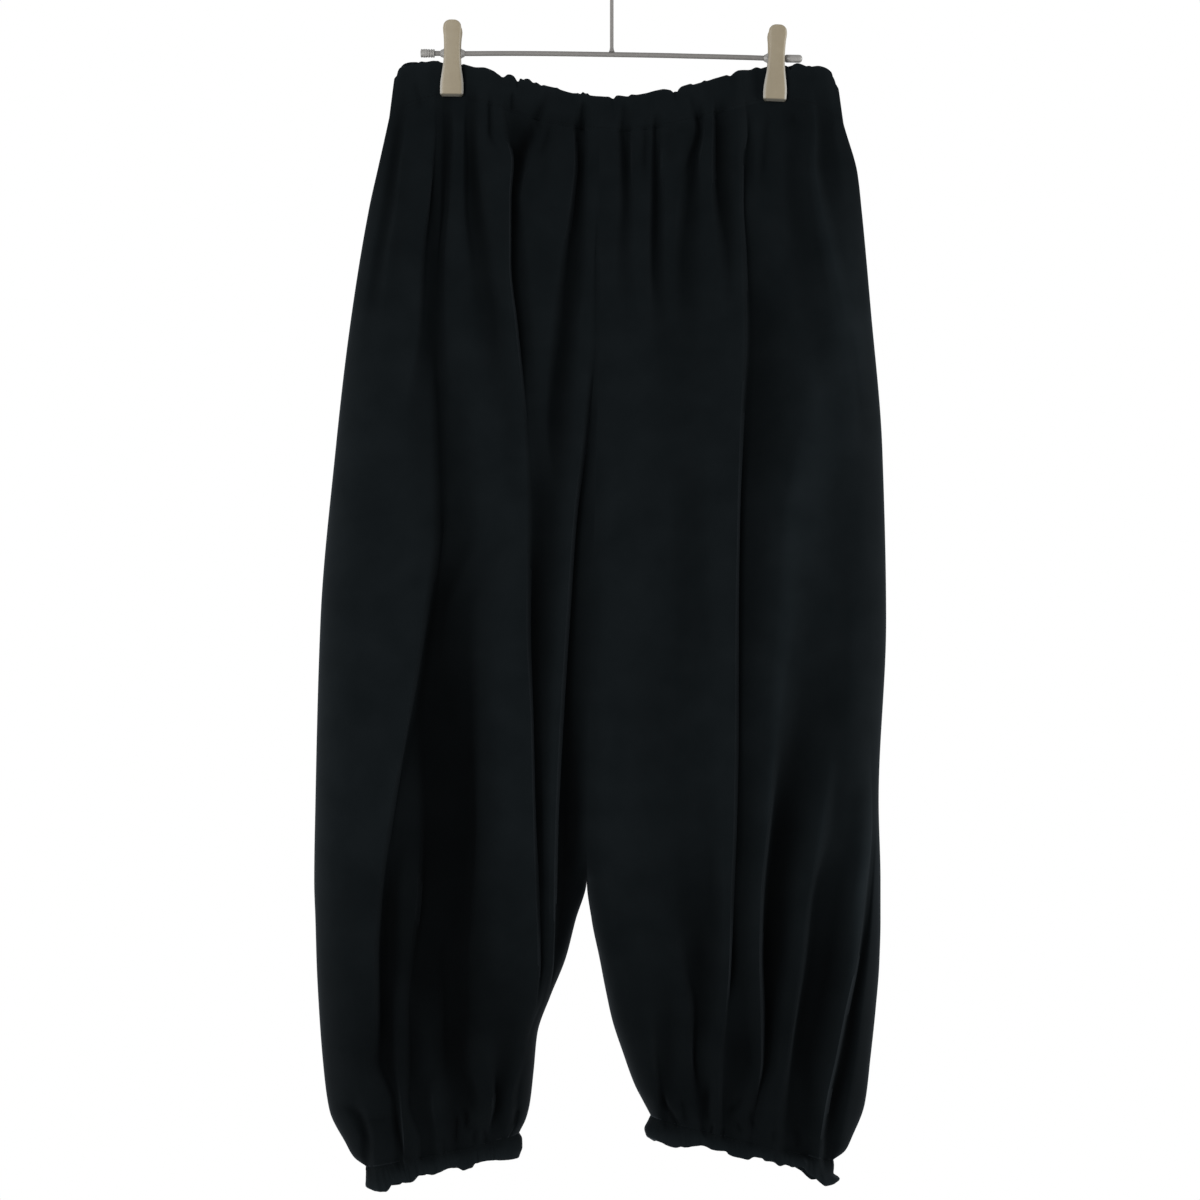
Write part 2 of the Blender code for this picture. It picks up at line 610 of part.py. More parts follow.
def hanger_hook(collection):
    """Stem and hook bent from one wire; the hook opens towards -X."""
    radius = HOOK_INNER_RADIUS + WIRE_RADIUS
    centre = -HOOK_INNER_RADIUS
    turn = np.radians(np.linspace(HOOK_TIP_ANGLE, HOOK_NECK_ANGLE, HOOK_ARC_POINTS))
    arc = [(radius * math.cos(a), 0.0, centre + radius * math.sin(a)) for a in turn]
    start = np.array(arc[-1])
    heading = np.array((math.sin(turn[-1]), 0.0, -math.cos(turn[-1])))
    end = np.array((0.0, 0.0, -STEM_TOP_FALL))
    handles = (start, start + NECK_REACH * heading, end + np.array((0, 0, NECK_REACH)), end)
    neck = []
    for t in np.linspace(0, 1, NECK_POINTS)[1:]:
        weights = ((1 - t) ** 3, 3 * t * (1 - t) ** 2, 3 * t * t * (1 - t), t ** 3)
        neck.append(tuple(sum(w * h for w, h in zip(weights, handles))))
    foot = (0.0, 0.0, -BAR_FALL + BAR_RADIUS + SEAM_GAP)
    return wire("hanger_hook", arc + neck + [foot], WIRE_RADIUS, "steel", collection)


def turned(name, profile, place, tilt, finish, collection):
    """Turn a profile of (radius, along) round an axis that lies along X."""
    mesh = bpy.data.meshes.new(name)
    verts = [(radius * MM, 0.0, along * MM) for radius, along in profile]
    edges = [(i, i + 1) for i in range(len(profile) - 1)]
    if profile[0][0] > 0:
        edges.append((len(profile) - 1, 0))
    mesh.from_pydata(verts, edges, [])
    made = add_object(name, mesh, finish, collection)
    screw = made.modifiers.new("Screw", "SCREW")
    screw.axis = "Z"
    screw.steps = screw.render_steps = ROUND_STEPS
    screw.use_merge_vertices = True
    screw.merge_threshold = 0.00001
    made.location = [value * MM for value in place]
    made.rotation_euler = (0.0, math.pi / 2 + tilt, 0.0)
    return made


def clip_barrel(side, collection):
    """Clear sleeve of a clip, on which it slides along the bar."""
    half = BARREL_LENGTH / 2
    profile = ((BARREL_RADIUS, half), (BARREL_RADIUS, -half), (BARREL_BORE, -half),
               (BARREL_BORE, half))
    x = CLIP_X[side]
    return turned(f"clip_barrel_{side}", profile, (x, 0.0, bar_height(x)), BAR_TILT,
                  "clear plastic", collection)


def bar_stopper(side, collection):
    """Cap over an end of the bar."""
    radius, length = STOPPERS[side]
    end, turn = BAR_RIGHT_END, BAR_TILT
    if side == "right":
        end, turn = BAR_LEFT_END, BAR_TILT + math.pi
    tip = SEAM_GAP + STOPPER_FLOOR
    mouth = tip - length
    profile = ((0.0, tip), (radius - STOPPER_CHAMFER, tip), (radius, tip - STOPPER_CHAMFER),
               (radius, mouth), (STOPPER_BORE, mouth), (STOPPER_BORE, SEAM_GAP),
               (0.0, SEAM_GAP))
    return turned(f"bar_stopper_{side}", profile, (end, 0.0, bar_height(end)), turn,
                  "clear plastic", collection)


def clip_jaw(side, face, collection):
    """Leaf of a clip: a shaped plate, narrow at the bar and wide at the pad."""
    name = f"clip_jaw_{face}_{side}"
    facing = -1.0 if face == "front" else 1.0
    spans = len(JAW_SECTIONS) - 1
    bm = bmesh.new()
    bmesh.ops.create_grid(bm, x_segments=JAW_COLUMNS, y_segments=spans, size=1.0)
    x = CLIP_X[side]
    lean = CLIP_LEAN[side] + BAR_TILT
    for vert in bm.verts:
        row = round((1 - vert.co.y) / 2 * spans)
        height, half_width, inner_face = JAW_SECTIONS[row]
        crown = JAW_CROWN * (1 - vert.co.x ** 2)
        local_x = vert.co.x * half_width
        vert.co = (x + local_x + height * math.sin(lean),
                   facing * (inner_face + JAW_THICKNESS + crown),
                   bar_height(x) + height - local_x * math.sin(lean))
        vert.co *= MM
    mesh = bpy.data.meshes.new(name)
    if face == "back":
        bmesh.ops.reverse_faces(bm, faces=bm.faces)
    bm.to_mesh(mesh)
    bm.free()
    made = add_object(name, mesh, "taupe plastic", collection)
    solidify = made.modifiers.new("Solidify", "SOLIDIFY")
    solidify.thickness = JAW_THICKNESS * MM
    solidify.offset = -1.0
    bevel = made.modifiers.new("Bevel", "BEVEL")
    bevel.width = JAW_EDGE_BEVEL * MM
    bevel.segments = 1
    bevel.limit_method = "ANGLE"
    bevel.angle_limit = JAW_EDGE_ANGLE
    return made


def build():
    for old in list(bpy.data.objects):
        bpy.data.objects.remove(old, do_unlink=True)
    collection = bpy.data.collections.new("harem_trousers_on_hanger")
    bpy.context.scene.collection.children.link(collection)
    hanger_hook(collection)
    hanger_bar(collection)
    for side in SIDES:
        clip_barrel(side, collection)
        bar_stopper(side, collection)
        for face in ("front", "back"):
            clip_jaw(side, face, collection)
    for face in ("front", "back"):
        waistband(face, collection)
        for leg in SIDES:
            leg_panel(leg, face, collection)
    for leg in SIDES:
        cuff(leg, collection)


build()
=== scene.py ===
"""Black gathered harem trousers on a clip hanger: finished cloth, steel and plastic.

Sizes are millimetres, turned to metres where a mesh is made. The origin is the
inner top of the hanger's hook. +Z is up, the front faces -Y, and +X is the
wearer's left. Heights on the cloth are `fall`: millimetres below the waist seam.
"""
import json
import math

import bmesh
import bpy
import numpy as np
from mathutils import Matrix

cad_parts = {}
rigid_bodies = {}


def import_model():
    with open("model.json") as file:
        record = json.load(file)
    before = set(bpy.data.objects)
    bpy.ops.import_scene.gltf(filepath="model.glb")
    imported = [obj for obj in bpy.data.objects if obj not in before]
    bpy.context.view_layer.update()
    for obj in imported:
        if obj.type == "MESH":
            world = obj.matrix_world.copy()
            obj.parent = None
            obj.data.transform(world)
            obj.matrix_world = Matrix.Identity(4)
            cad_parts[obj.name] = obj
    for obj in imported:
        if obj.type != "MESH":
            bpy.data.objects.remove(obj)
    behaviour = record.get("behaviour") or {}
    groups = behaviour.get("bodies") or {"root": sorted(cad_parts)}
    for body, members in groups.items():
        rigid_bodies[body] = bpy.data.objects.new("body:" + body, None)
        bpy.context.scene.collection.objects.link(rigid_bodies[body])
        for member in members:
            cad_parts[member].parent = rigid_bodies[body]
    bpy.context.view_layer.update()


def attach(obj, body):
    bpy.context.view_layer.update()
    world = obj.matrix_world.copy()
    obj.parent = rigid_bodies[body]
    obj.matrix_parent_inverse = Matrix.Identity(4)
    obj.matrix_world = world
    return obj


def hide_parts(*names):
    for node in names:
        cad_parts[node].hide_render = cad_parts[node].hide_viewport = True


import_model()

MM = 0.001
LAP = 0.04                # how far the edges of a sewn seam reach into each other

# ---- hanger -------------------------------------------------------------
BAR_FALL = 121.6
BAR_RADIUS = 2.0
BAR_LEFT_END = -151.0
BAR_RIGHT_END = 150.5
BAR_TILT = math.radians(0.66)
BAR_BOW = np.array((
    # (across, how far the bar is bent above a straight one)
    (-151, 0.4), (-117, 0.55), (-94, 0.95), (-70, 1.2), (-48, 1.28), (-4, 1.15), (40, 0.9),
    (63, 0.6), (85, 0.35), (108, 0), (128, -0.4), (151, -0.5),
))
WIRE_RADIUS = 1.45
HOOK_INNER_RADIUS = 20.0
HOOK_TIP_ANGLE = 205.0
HOOK_NECK_ANGLE = -48.0
NECK_REACH = 13.0
STEM_TOP_FALL = 66.0
CLIP_X = {"right": -127.4, "left": 131.5}
CLIP_LEAN = {"right": 0.0, "left": math.radians(1.8)}
BAR_SIDES = 32
BAR_STATIONS = 61
BAR_END = (
    # change of the radius, change of the half length
    (-0.5, 0.0), (-0.15, -0.15), (0.0, -0.5),
)
BORE = BAR_RADIUS + 0.15       # inside radius of what sits on the bar
SLEEVE_SIDES = 40              # of a barrel and of a cap
BARREL_ENDS = {"right": (9.6, 9.8), "left": (9.8, 7.6)}   # from the clip, to -X and +X
BARREL_FLANK = (
    # radius, how far in from the barrel's end
    (BORE, 0), (2.4, 0), (2.9, 0.8), (3.3, 1.9), (4.1, 2.9), (4.0, 3.6), (3.2, 5.0),
)
JAW_SECTIONS = (
    # height from the bar, half_width, inner_face
    (25.0, 3.0, 9.1),
    (24.5, 4.4, 9.0),
    (23.4, 5.7, 8.8),
    (21.6, 6.9, 8.4),
    (18.5, 7.4, 7.8),
    (12.0, 6.8, 6.4),
    (2.0, 6.5, 5.0),
    (-5.0, 6.8, 4.6),
    (-12.0, 7.5, 4.2),
    (-20.0, 8.7, 3.8),
    (-26.0, 9.3, 3.5),
    (-31.0, 9.35, 3.4),
    (-33.6, 9.0, 3.5),
    (-35.2, 7.8, 3.7),
)
JAW_ROWS = ((25.0, 21.6, 9), (21.6, -32.4, 20), (-32.7, -35.2, 5))     # from, to, how many
JAW_COLUMNS = 18
JAW_THICKNESS = 3.4
JAW_SPARE = 0.2                # the plate is this much thinner than the leaf at its chamfer
JAW_CROWN = 0.35
JAW_CHAMFER = (0.83, 1.3)      # starts at this share of the half width, drops this far
JAW_LIP = (-32.6, 1.7)         # the lower end turns in below this height, this far
JAW_EDGE = 0.35
JAW_EDGE_STEPS = 2
JAW_EDGE_ANGLE = math.radians(50)
PALER_EDGE_GAIN = 1.6
PALER_EDGE_DROP = 16.0             # the side edges are fully paler this far below the bar
# Painted shade on a jaw's turned-in lower lip grows this fast with the turn
LIP_SHADE_GAIN = 2.5
STOPPER_TIP = 1.9              # a cap reaches this far past the end of the bar
STOPPER_LENGTHS = {"right": 11.2, "left": 13.4}
STOPPER_FLOOR = ((0.6, 1.6), (BORE, 1.6))      # radius, how far back from the tip
ROUND_CAP = (
    # radius, how far back from the tip
    (0.6, 0), (1.3, 0.1), (2.1, 0.5), (2.85, 1.3), (3.15, 2.6), (3.15, 13.0), (2.85, 13.4),
)
RIBBED_TIP = ((0.6, 0), (2.4, 0), (2.9, 0.3))
RIBBED_RADIUS = 3.5
RIBBED_MOUTH = 3.1
RIBS_SPAN = (0.7, 10.7)        # the ribs start and end this far back from the tip
STOPPER_RIBS = 5
RIB_DEPTHS = (0.5, 0.45, 0.7, 0.3, 0.55)
HOOK_STATIONS = 60
NECK_STATIONS = 18
WIRE_ROUNDING = 6
FOOT_GAP = 0.1
HOOK_FOOT = (
    # height over the bar, how many times as thick as the wire
    (4.2, 1.0), (3.0, 1.04), (2.0, 1.14), (1.2, 1.3), (0.6, 1.48), (0.0, 1.62),
)
SMOOTH_BELOW = math.radians(40)
MERGED_WITHIN = 0.005

# ---- cloth --------------------------------------------------------------
CLOTH = 0.9               # a leg panel's wall
CASING_WALL = 1.5
WAIST_SEAM_FALL = 171.2
CASING_HEIGHT = 28.6
CASING_TAPER = 4.0
WAIST_SAG = 27.5
WAIST_TILT = 0.0085
SHOULDER_DROP = 10.0
CORNER_DROP = 4.0
SHOULDER_REACH = 40.0
CLIP_LINE = 15.0
WAIST_FADE = 220.0
CUFF_LEAD = 640.0
SHARP_EDGE = math.radians(60)
CROTCH_FALL = 610.0
CROTCH_RISE = 50.0
CENTRE_REACH = 6.0
PINCH_WIDTH = 24.0
PINCH_FADE = 70.0
PINCHED_DEPTH = 2.6
SHOULDER_FREEDOM = 0.2    # share of the pinch that is lost beyond the clips
LEAST_DEPTH = 2.5
SIDE_ROUND = 34.0
INSEAM_ROUND = 26.0
SIDE_FLATNESS = 0.76
OUTLINE_COLUMNS = ("fall", "right_side", "right_inseam", "left_inseam",
                   "left_side", "front_depth", "back_depth")
OUTLINE = np.array((
    (0, -178, -10, -10, 185.5, 13, 12),
    (34, -186.5, -10, -10, 196.5, 17, 15),
    (66, -194, -10, -10, 200, 21, 19),
    (154, -208, -9, -9, 207.5, 28, 26),
    (266, -221, -12, -12, 216.5, 34, 32),
    (402, -233, -16, -16, 219.5, 38, 36),
    (546, -237, -19, -19, 213.5, 40, 38),
    (610, -238, -20, -20, 215, 40, 38),
    (642, -237, -29, -16, 215, 40, 38),
    (674, -236, -37, -10, 214, 40, 38),
    (706, -234, -49, -5, 211, 39, 37),
    (738, -231, -59.5, 0.5, 207, 37, 35),
    (770, -226, -62.5, 9.4, 202.5, 33, 31),
    (796, -213, -65.5, 18.4, 192.5, 27, 26),
    (808, -206.5, -68.6, 25, 187, 23, 22),
    (818, -196, -74, 31, 177, 18.5, 18),
), float)
HEM_FALL = OUTLINE[-1, 0]
# Real falls at which the fold lines below are known.
FOLD_FALLS = np.array((-9, 11, 36, 68, 116, 172, 243, 322, 401,
                       480, 559, 622, 670, 709, 749, 782, 811))
FOLDS = {
    "right": (
        # name, places across at FOLD_FALLS, depths at FOLD_FALLS
        ("rim ridge",
         (-176.5, -178.5, -181.5, -186, -193, -201.5, -210.5, -220, -225,
          -227.5, -229, -230, -228.5, -224, -220.5, -216.5, -201),
         0),
        ("rim valley",
         (-167.5, -170, -172.5, -176.5, -184.5, -192.5, -199.5, -205.5, -210.5,
          -213, -213.5, -214.5, -213, -210, -207, -203, -195),
         (4, 8, 9, 7, 5, 1, 0, 0, 0, 0.8, 0, 1.4, 0, 0, 0, 1, 4)),
        ("outer panel",
         (-162.5, -163, -167, -169.5, -176.5, -178.5, -180, -183, -190.5,
          -197, -201.5, -203.5, -203, -201.5, -200.5, -194.5, -189),
         (1, 0, 0, 0, 0, 0, 0, 0, 0, 1, 0, 1.8, 0, 0, 0.3, 0, 0.5)),
        ("hip edge",
         (-142.5, -141.5, -143, -146, -152, -154.5, -165, -162, -172.5,
          -182, -191.5, -196.5, -196.5, -196.5, -195.5, -187.5, -183.5),
         (0, 0, 0, 0, 0, 0, 0, 0, 0, 1, 0, 2, 0, 0, 0.6, 0.5, 1.5)),
        ("hip foot",
         (-140, -139.5, -141.5, -144.5, -147.5, -149.5, -156.5, -151, -163,
          -175, -186, -192.5, -193, -193, -193, -183.5, -179.5),
         (3, 6, 8, 11, 9, 7, 3, 1.5, 0, 0.9, 0, 2.2, 0, 0, 2, 1, 2.5)),
        ("knee edge",
         (-136, -136, -137.5, -136.5, -139, -142.5, -143, -141.5, -149.5,
          -161.5, -176, -184.5, -187.5, -187.5, -188, -176, -174),
         (3, 5, 6, 7, 9, 9.5, 4, 3, 0, 0, 0, 1.8, 0, 0, 4.5, 3, 3)),
        ("knee foot",
         (-133.5, -133, -132, -133.5, -137.5, -138.5, -135.5, -133, -144.5,
          -159, -172.5, -180.5, -183, -182, -182, -171, -169),
         (6, 11, 12.5, 12, 9.5, 9.5, 11, 12, 13.5, 9, 9, 12.5, 13.5, 14, 13, 9.5, 6.5)),
        ("knee rise",
         (-130.5, -129, -130, -130.5, -134, -134.5, -131.5, -129.5, -142.5,
          -157, -164.5, -171.5, -174, -175, -174.5, -169, -166.5),
         (6, 10, 12, 9, 9, 7.5, 7.5, 8, 14, 11, 8.5, 13.5, 14.5, 15, 13.5, 8.5, 6)),
        ("shin ridge",
         (-126.5, -125, -126, -127, -130.5, -129.5, -123.5, -118.5, -140,
          -155, -157, -164.5, -165, -167.5, -167.5, -166, -164.5),
         (1, 0.5, 1, 0.5, 2, 2, 4, 6.5, 14, 12, 8.5, 8.5, 8.5, 5.5, 5, 2.5, 1.5)),
        ("shin edge",
         (-123, -122.5, -123, -124, -125, -121.5, -117, -111, -137,
          -152.5, -152, -154.5, -160, -163, -163.5, -163, -154.5),
         (0, 0, 0, 0, 0, 0.5, 2.5, 5, 14, 13, 9.5, 8.5, 9.5, 6, 5, 4, 1.5)),
        ("shin foot",
         (-120.5, -120.5, -121.5, -121, -121, -117.5, -112, -106.5, -134.5,
          -149, -147.5, -150.5, -156, -160, -158.5, -160, -151),
         (0, 0, 0, 0, 0, 0, 1, 3.5, 13.8, 14.5, 15, 19, 16, 12, 12, 9, 6)),
        ("low ridge",
         (-118.5, -118.5, -118.5, -118, -115, -113, -105.5, -102.5, -130.5,
          -138.5, -136, -139.5, -146.5, -146.5, -144.5, -144.5, -141.5),
         (0, 0, 0, 1, 1, 0, 0, 1.5, 12, 14, 16, 19, 15.5, 10.5, 6, 8, 6)),
        ("low edge",
         (-114.5, -115, -114, -114, -108, -101, -98, -95.5, -123,
          -126, -124, -128, -138, -137.5, -137.5, -140, -135.5),
         (5, 10, 11, 8, 6, 4, 0, 0.5, 10.5, 13.2, 16, 19, 15.5, 11, 7.5, 2.5, 1.5)),
        ("low foot",
         (-110.5, -110.5, -110, -106, -98.5, -91.5, -92, -90, -116.5,
          -115.5, -114, -117.5, -133, -131.5, -130.5, -122.5, -123),
         (5, 9, 11, 10, 6.5, 6, 0.5, 0, 9.5, 12.3, 16, 18.5, 17.5, 17.5, 13, 9, 6.5)),
        ("valley end",
         (-106, -105, -102.5, -99.5, -92, -86, -83, -83.5, -110.5,
          -109.5, -109, -112, -119, -119, -118, -109.5, -118.5),
         (1, 1, 1, 2, 2, 3.5, 2, 0, 8, 12, 15, 16, 16.5, 16, 13, 9.5, 5)),
        ("broad ridge",
         (-99.5, -100, -93.5, -92, -87, -82, -79, -79, -105.5,
          -104, -104, -107.5, -110.5, -109, -107.5, -101, -105.5),
         (0, 0, 0, 0, 1, 1.5, 2, 0, 5, 7, 8, 10, 10, 9.5, 4, 1.5, 2)),
        ("cuff edge",
         (-96, -96, -88, -86.5, -84.5, -79.5, -74, -72.5, -97.5,
          -96.5, -95, -99, -99.5, -99, -97.5, -95, -100.5),
         (2, 3, 0, 0, 0.5, 0.5, 1, 0, 2.5, 3.6, 4, 6, 6.5, 6, 1.5, 1.5, 3)),
        ("cuff foot",
         (-93, -92, -86.5, -86, -84, -78.5, -72.5, -70.5, -90.5,
          -87.5, -84.5, -90, -88.5, -86, -90.5, -92, -96.5),
         (0, 0.5, 0, 0, 0, 0, 0.5, 0, 1, 0.6, 1, 3, 2.5, 5.5, 7, 12, 5)),
        ("cuff end",
         (-90, -90, -84.5, -84.5, -83, -78, -71.5, -69, -80.5,
          -76.5, -73, -77, -76.5, -77.5, -84, -86.5, -89),
         (0, 0, 0, 0, 0, 0, 0, 0, 0, 0, 0.3, 1, 1, 5, 8, 9.5, 4.5)),
        ("inner edge",
         (-87.5, -86.5, -80, -81.5, -81.5, -76, -69.5, -67, -67.5,
          -64, -62, -60, -58.5, -60.5, -73, -80.5, -82.5),
         (0, 0, 0, 0, 0, 0, 0, 0, 0, 0, 0, 0, 0, 0, 1, 1, 1.5)),
        ("inner foot",
         (-86, -82.5, -78, -80, -80, -74, -67, -62.5, -64,
          -62, -60, -57, -56, -60, -71.5, -79.5, -79),
         (2, 6, 11.5, 11.5, 10.5, 10, 5, 8, 13, 11.5, 11.5, 10, 9, 0.5, 0.3, 0.5, 1)),
        ("inner end",
         (-79.5, -72, -71, -74.5, -74.5, -68.5, -62, -55, -56,
          -58, -56.5, -55, -54, -59.5, -70.5, -77.5, -77.5),
         (2, 8, 10.5, 10, 9, 8, 4.5, 10, 12, 10.5, 12, 10, 6, 1, 0, 1.5, 2)),
        ("short ridge",
         (-53, -54.5, -63.5, -69, -63.5, -57, -57, -50.5, -51.5,
          -53.5, -52.5, -52, -51.5, -58.5, -69, -75, -75.5),
         (2, 2, 1, 0.5, 0.5, 1, 4, 8.5, 9.5, 9, 7.5, 7, 3, 1.5, 0, 3, 1.5)),
        ("short edge",
         (-47, -31, -30, -33, -40.5, -48.5, -52, -45, -46.5,
          -50, -50, -49.5, -50, -57, -67, -72.5, -73.5),
         (0, 1, 0.5, 0, 0, 0.5, 4.5, 7, 6.5, 6, 4, 4, 1.5, 2.5, 0, 1, 0.7)),
        ("short foot",
         (-27.5, -27.5, -27, -29.5, -35, -40, -48, -40.5, -43,
          -47.5, -48, -48.5, -49.5, -56.5, -66.5, -72, -73),
         (2, 8, 12, 11.5, 9.5, 9, 9, 4, 3.5, 3, 1.5, 2, 0.7, 3, 0, 0.5, 0.3)),
        ("short end",
         (-24.5, -23, -23, -24, -28.5, -33.5, -40.5, -36, -41,
          -45.5, -47, -48, -49, -56, -66, -71.5, -72.5),
         (2, 8, 11.5, 10.5, 10, 10, 9, 1.5, 2, 1.5, 0.7, 1, 0.3, 2.5, 0, 0, 0)),
        ("rise ridge",
         (-20.5, -19, -18.5, -19, -20.5, -25, -29, -33, -38.5,
          -43, -45.5, -47, -48.5, -55.5, -65.5, -71, -72),
         (1, 1, 1, 1, 3, 1, 1, 0.3, 0.5, 0.3, 0.3, 0.5, 0, 2, 0, 0, 0)),
        ("rise edge",
         (-15.5, -15, -15, -14, -15.5, -18, -22, -30.5, -36,
          -41, -44.5, -46, -47.5, -55.5, -65, -70, -71),
         (0, 0, 0, 0, 0, 0, 0, 0, 0, 0, 0, 0, 0.5, 1.5, 0, 0, 0)),
        ("rise foot",
         (-13.5, -12.5, -11.5, -11, -12.5, -12.5, -17.5, -27.5, -33,
          -38, -42, -43.5, -46, -55, -64, -69.5, -70.5),
         (0.5, 0.5, 0.5, 0.5, 2.5, 2.5, 8, 12, 12.5, 13.5, 13, 12.5, 8, 1, 0, 0, 0)),
        ("rise end",
         (-11.5, -11.5, -11, -10.5, -10.5, -11, -12.5, -22, -27.5,
          -31.5, -31.5, -34.5, -44, -54.5, -63.5, -68.5, -69.5),
         (0.5, 0.5, 0.5, 0.5, 1, 1.5, 4, 7, 9, 12, 15, 11, 6, 0.7, 0, 0, 0)),
    ),
    "left": (
        ("rim ridge",
         (180.5, 179.5, 183.5, 188, 195, 202, 207.5, 211.5, 214,
          211.5, 211, 208, 204.5, 199.5, 194.5, 188.5, 184.5),
         (0, 0, 0, 0, -1, -1.2, 0, 0, 0, 0, 0, 0, 0, 0, 0, 0, 0)),
        ("thin end",
         (173, 174, 175, 179.5, 188.5, 197, 203.5, 206.5, 209,
          207.5, 209, 205, 199.5, 193, 185.5, 179.5, 175),
         (3, 5, 4.5, 1, -1.2, -2, 0, 0, 0, 0, 0.5, 4.5, 7, 8.5, 10.5, 10, 7)),
        ("thin foot",
         (165, 165.5, 166, 172, 183.5, 192.5, 200, 202.5, 206,
          205, 207, 202.5, 196.5, 189, 181, 174, 170),
         (3, 5, 5, 1.5, -1, -2.3, 0, 0, 0, 0.2, 0.5, 5, 10, 11.5, 11, 12, 8)),
        ("thin ridge",
         (162, 162.5, 161.5, 166, 176.5, 188.5, 198, 201, 204,
          203.5, 206, 199, 193, 184.5, 176.5, 169.5, 165.5),
         (-0.5, -1, -1.6, -2.2, -2.6, -2, 0, 0, 0.3, 0.3, -2, -4.4, -2.8, -2.2, -1.8, -1.8, -1)),
        ("shin end",
         (157.5, 158.5, 158, 161, 172, 182.5, 191.5, 188.5, 191.5,
          190.5, 187.5, 178, 172, 165, 156, 158.5, 155.5),
         (1, 0.3, -0.6, -1, -1.6, -1.6, -1, 1, 1.5, 1.5, 4.5, 8, 11, 12, 11.5, 8.5, 6.5)),
        ("shin foot",
         (155, 155.5, 156, 158.5, 168.5, 178, 186.5, 180, 182,
          181, 174.5, 160, 155, 148.5, 143, 141, 140),
         (1.5, 0.8, 0.6, 0.4, -0.4, -1.2, -1, 0.8, 2.6, 3.5, 3.5, 8, 11, 11.5, 9.5, 9, 6.5)),
        ("shin edge",
         (153, 153.5, 155, 157, 166.5, 173.5, 182.5, 174.5, 175,
          174, 166.5, 155, 149.5, 144, 138.5, 133.5, 131),
         (1.5, 1.5, 1, 0.8, 1.2, -0.6, -1.1, 0.7, 2.2, 5, -1.1, 0, 0, 0, 0, 0, 0)),
        ("shin ridge",
         (150, 150.5, 152, 154, 161, 168, 177, 169, 167.5,
          166, 160, 148.5, 143.5, 137.5, 133, 124.5, 121),
         (1.5, 2, 1.5, 1.5, 1.8, 0.5, -1.3, 0, 1.8, 6, 3, 2, 2, 1.5, 1, 1, 1)),
        ("long end",
         (143.5, 146.5, 147, 148.5, 155, 161, 170, 159, 155.5,
          148, 137.5, 132, 129, 126.5, 124, 118.5, 114),
         (2, 4, 3.5, 3.5, 2.8, 1.5, -1.6, -1.2, 1, 6.5, 13, 14, 15.5, 14, 10, 5.5, 3)),
        ("long foot",
         (139, 143.5, 142, 144, 150.5, 155, 163.5, 151.5, 145.5,
          137.5, 127.5, 121.5, 120, 121.5, 120.5, 115.5, 111),
         (2, 4, 4.5, 4.5, 3, 1, -1.8, -1.5, -0.6, 2.2, 11, 13.5, 18, 17, 11.5, 8, 4)),
        ("long edge",
         (133, 134.5, 134.5, 134, 138.5, 147, 152.5, 142, 137,
          129.5, 123, 117, 116, 117, 117.5, 113, 109),
         (0, 0, 0, 0, 0.5, 1, -0.6, -1.9, -1.8, -1.4, -1, -0.6, 0, 0, 0, 4.5, 2.5)),
        ("thigh ridge",
         (127.5, 130, 129, 128, 131.5, 137, 141, 131, 126.5,
          120, 116, 110.5, 109, 112, 114, 107, 105),
         (0, 0, 0, 0, 0, 3, 2, 0.8, 0.6, 1.5, 2.4, 3, 3, 2, 3.5, 3, 1.8)),
        ("thigh panel",
         (115.5, 115.5, 115.5, 115.5, 119, 120.5, 116, 115, 113,
          110.5, 109, 106, 104.5, 106, 109.5, 101, 100.5),
         (0, 0, 0, 1, 2, 6.5, 8.5, 5.5, 6, 4.5, 6.5, 6, 6, 5, 8.5, 4.8, 2.5)),
        ("crease end",
         (110, 111.5, 109.5, 108, 111.5, 112.5, 108, 106, 104.5,
          103.5, 102.5, 100, 97.5, 97, 97, 95, 94.5),
         (2, 2.5, 5, 3, 5, 8, 9.5, 7.5, 8, 7, 9, 8, 9, 5.5, 8.5, 8, 4.5)),
        ("crease foot",
         (107, 108.5, 105.5, 105, 107.5, 109, 105, 101.5, 100.5,
          100.5, 99, 96.5, 94.5, 92, 89, 88.5, 89),
         (3, 6, 7.8, 5.8, 7.5, 8.5, 9.5, 10, 10, 9.5, 9.5, 8.5, 11, 5, 5.5, 7.5, 5)),
        ("crease edge",
         (104.5, 106.5, 102.5, 102.5, 104, 105, 101.5, 99, 97.5,
          97, 96, 93.5, 92.5, 89.5, 85, 85, 85.5),
         (1, 0, 0, 0, 0, 0, 0, 0, 0, 0, 0, 0, 0, 0, 0, 1.2, 0.6)),
        ("crease ridge",
         (95, 97.5, 98, 99.5, 100, 100.5, 98, 97, 95.5,
          94.5, 94.5, 92.5, 91.5, 88.5, 83.5, 84, 84),
         (0, 0, 0, 0, 0.3, 0, 0, 0, 0, 0, 0, 0, 0, 0.1, 0, 0.7, 0.5)),
        ("fourth end",
         (87.5, 87.5, 88.5, 92, 96, 95.5, 94, 93.5, 93,
          92.5, 93, 91, 91, 87, 82.5, 83, 83),
         (4, 9, 9.5, 8.5, 4, 0, 0, 0, 0, 0, 0, 0, 0, 0.2, 0.1, 0.8, 0.6)),
        ("fourth foot",
         (83, 83, 83, 85, 93, 91.5, 92, 92, 91,
          91, 91.5, 90.5, 90.5, 87, 82, 82.5, 82.5),
         (4, 9, 10, 8, 4.5, 0, 0, 0, 0, 0, 0, 0, 0, 0.4, 0.2, 1.2, 0.8)),
        ("fourth edge",
         (80.5, 80, 79.5, 80, 84, 87.5, 89.5, 90, 90.5,
          90, 91, 90, 90, 86.5, 81.5, 82, 82),
         (0, 0, 0, 0, 0, 0, 0, 0, 0, 0, 0.1, 0.1, 0.2, 0.6, 0.3, 2, 1.1)),
        ("fourth ridge",
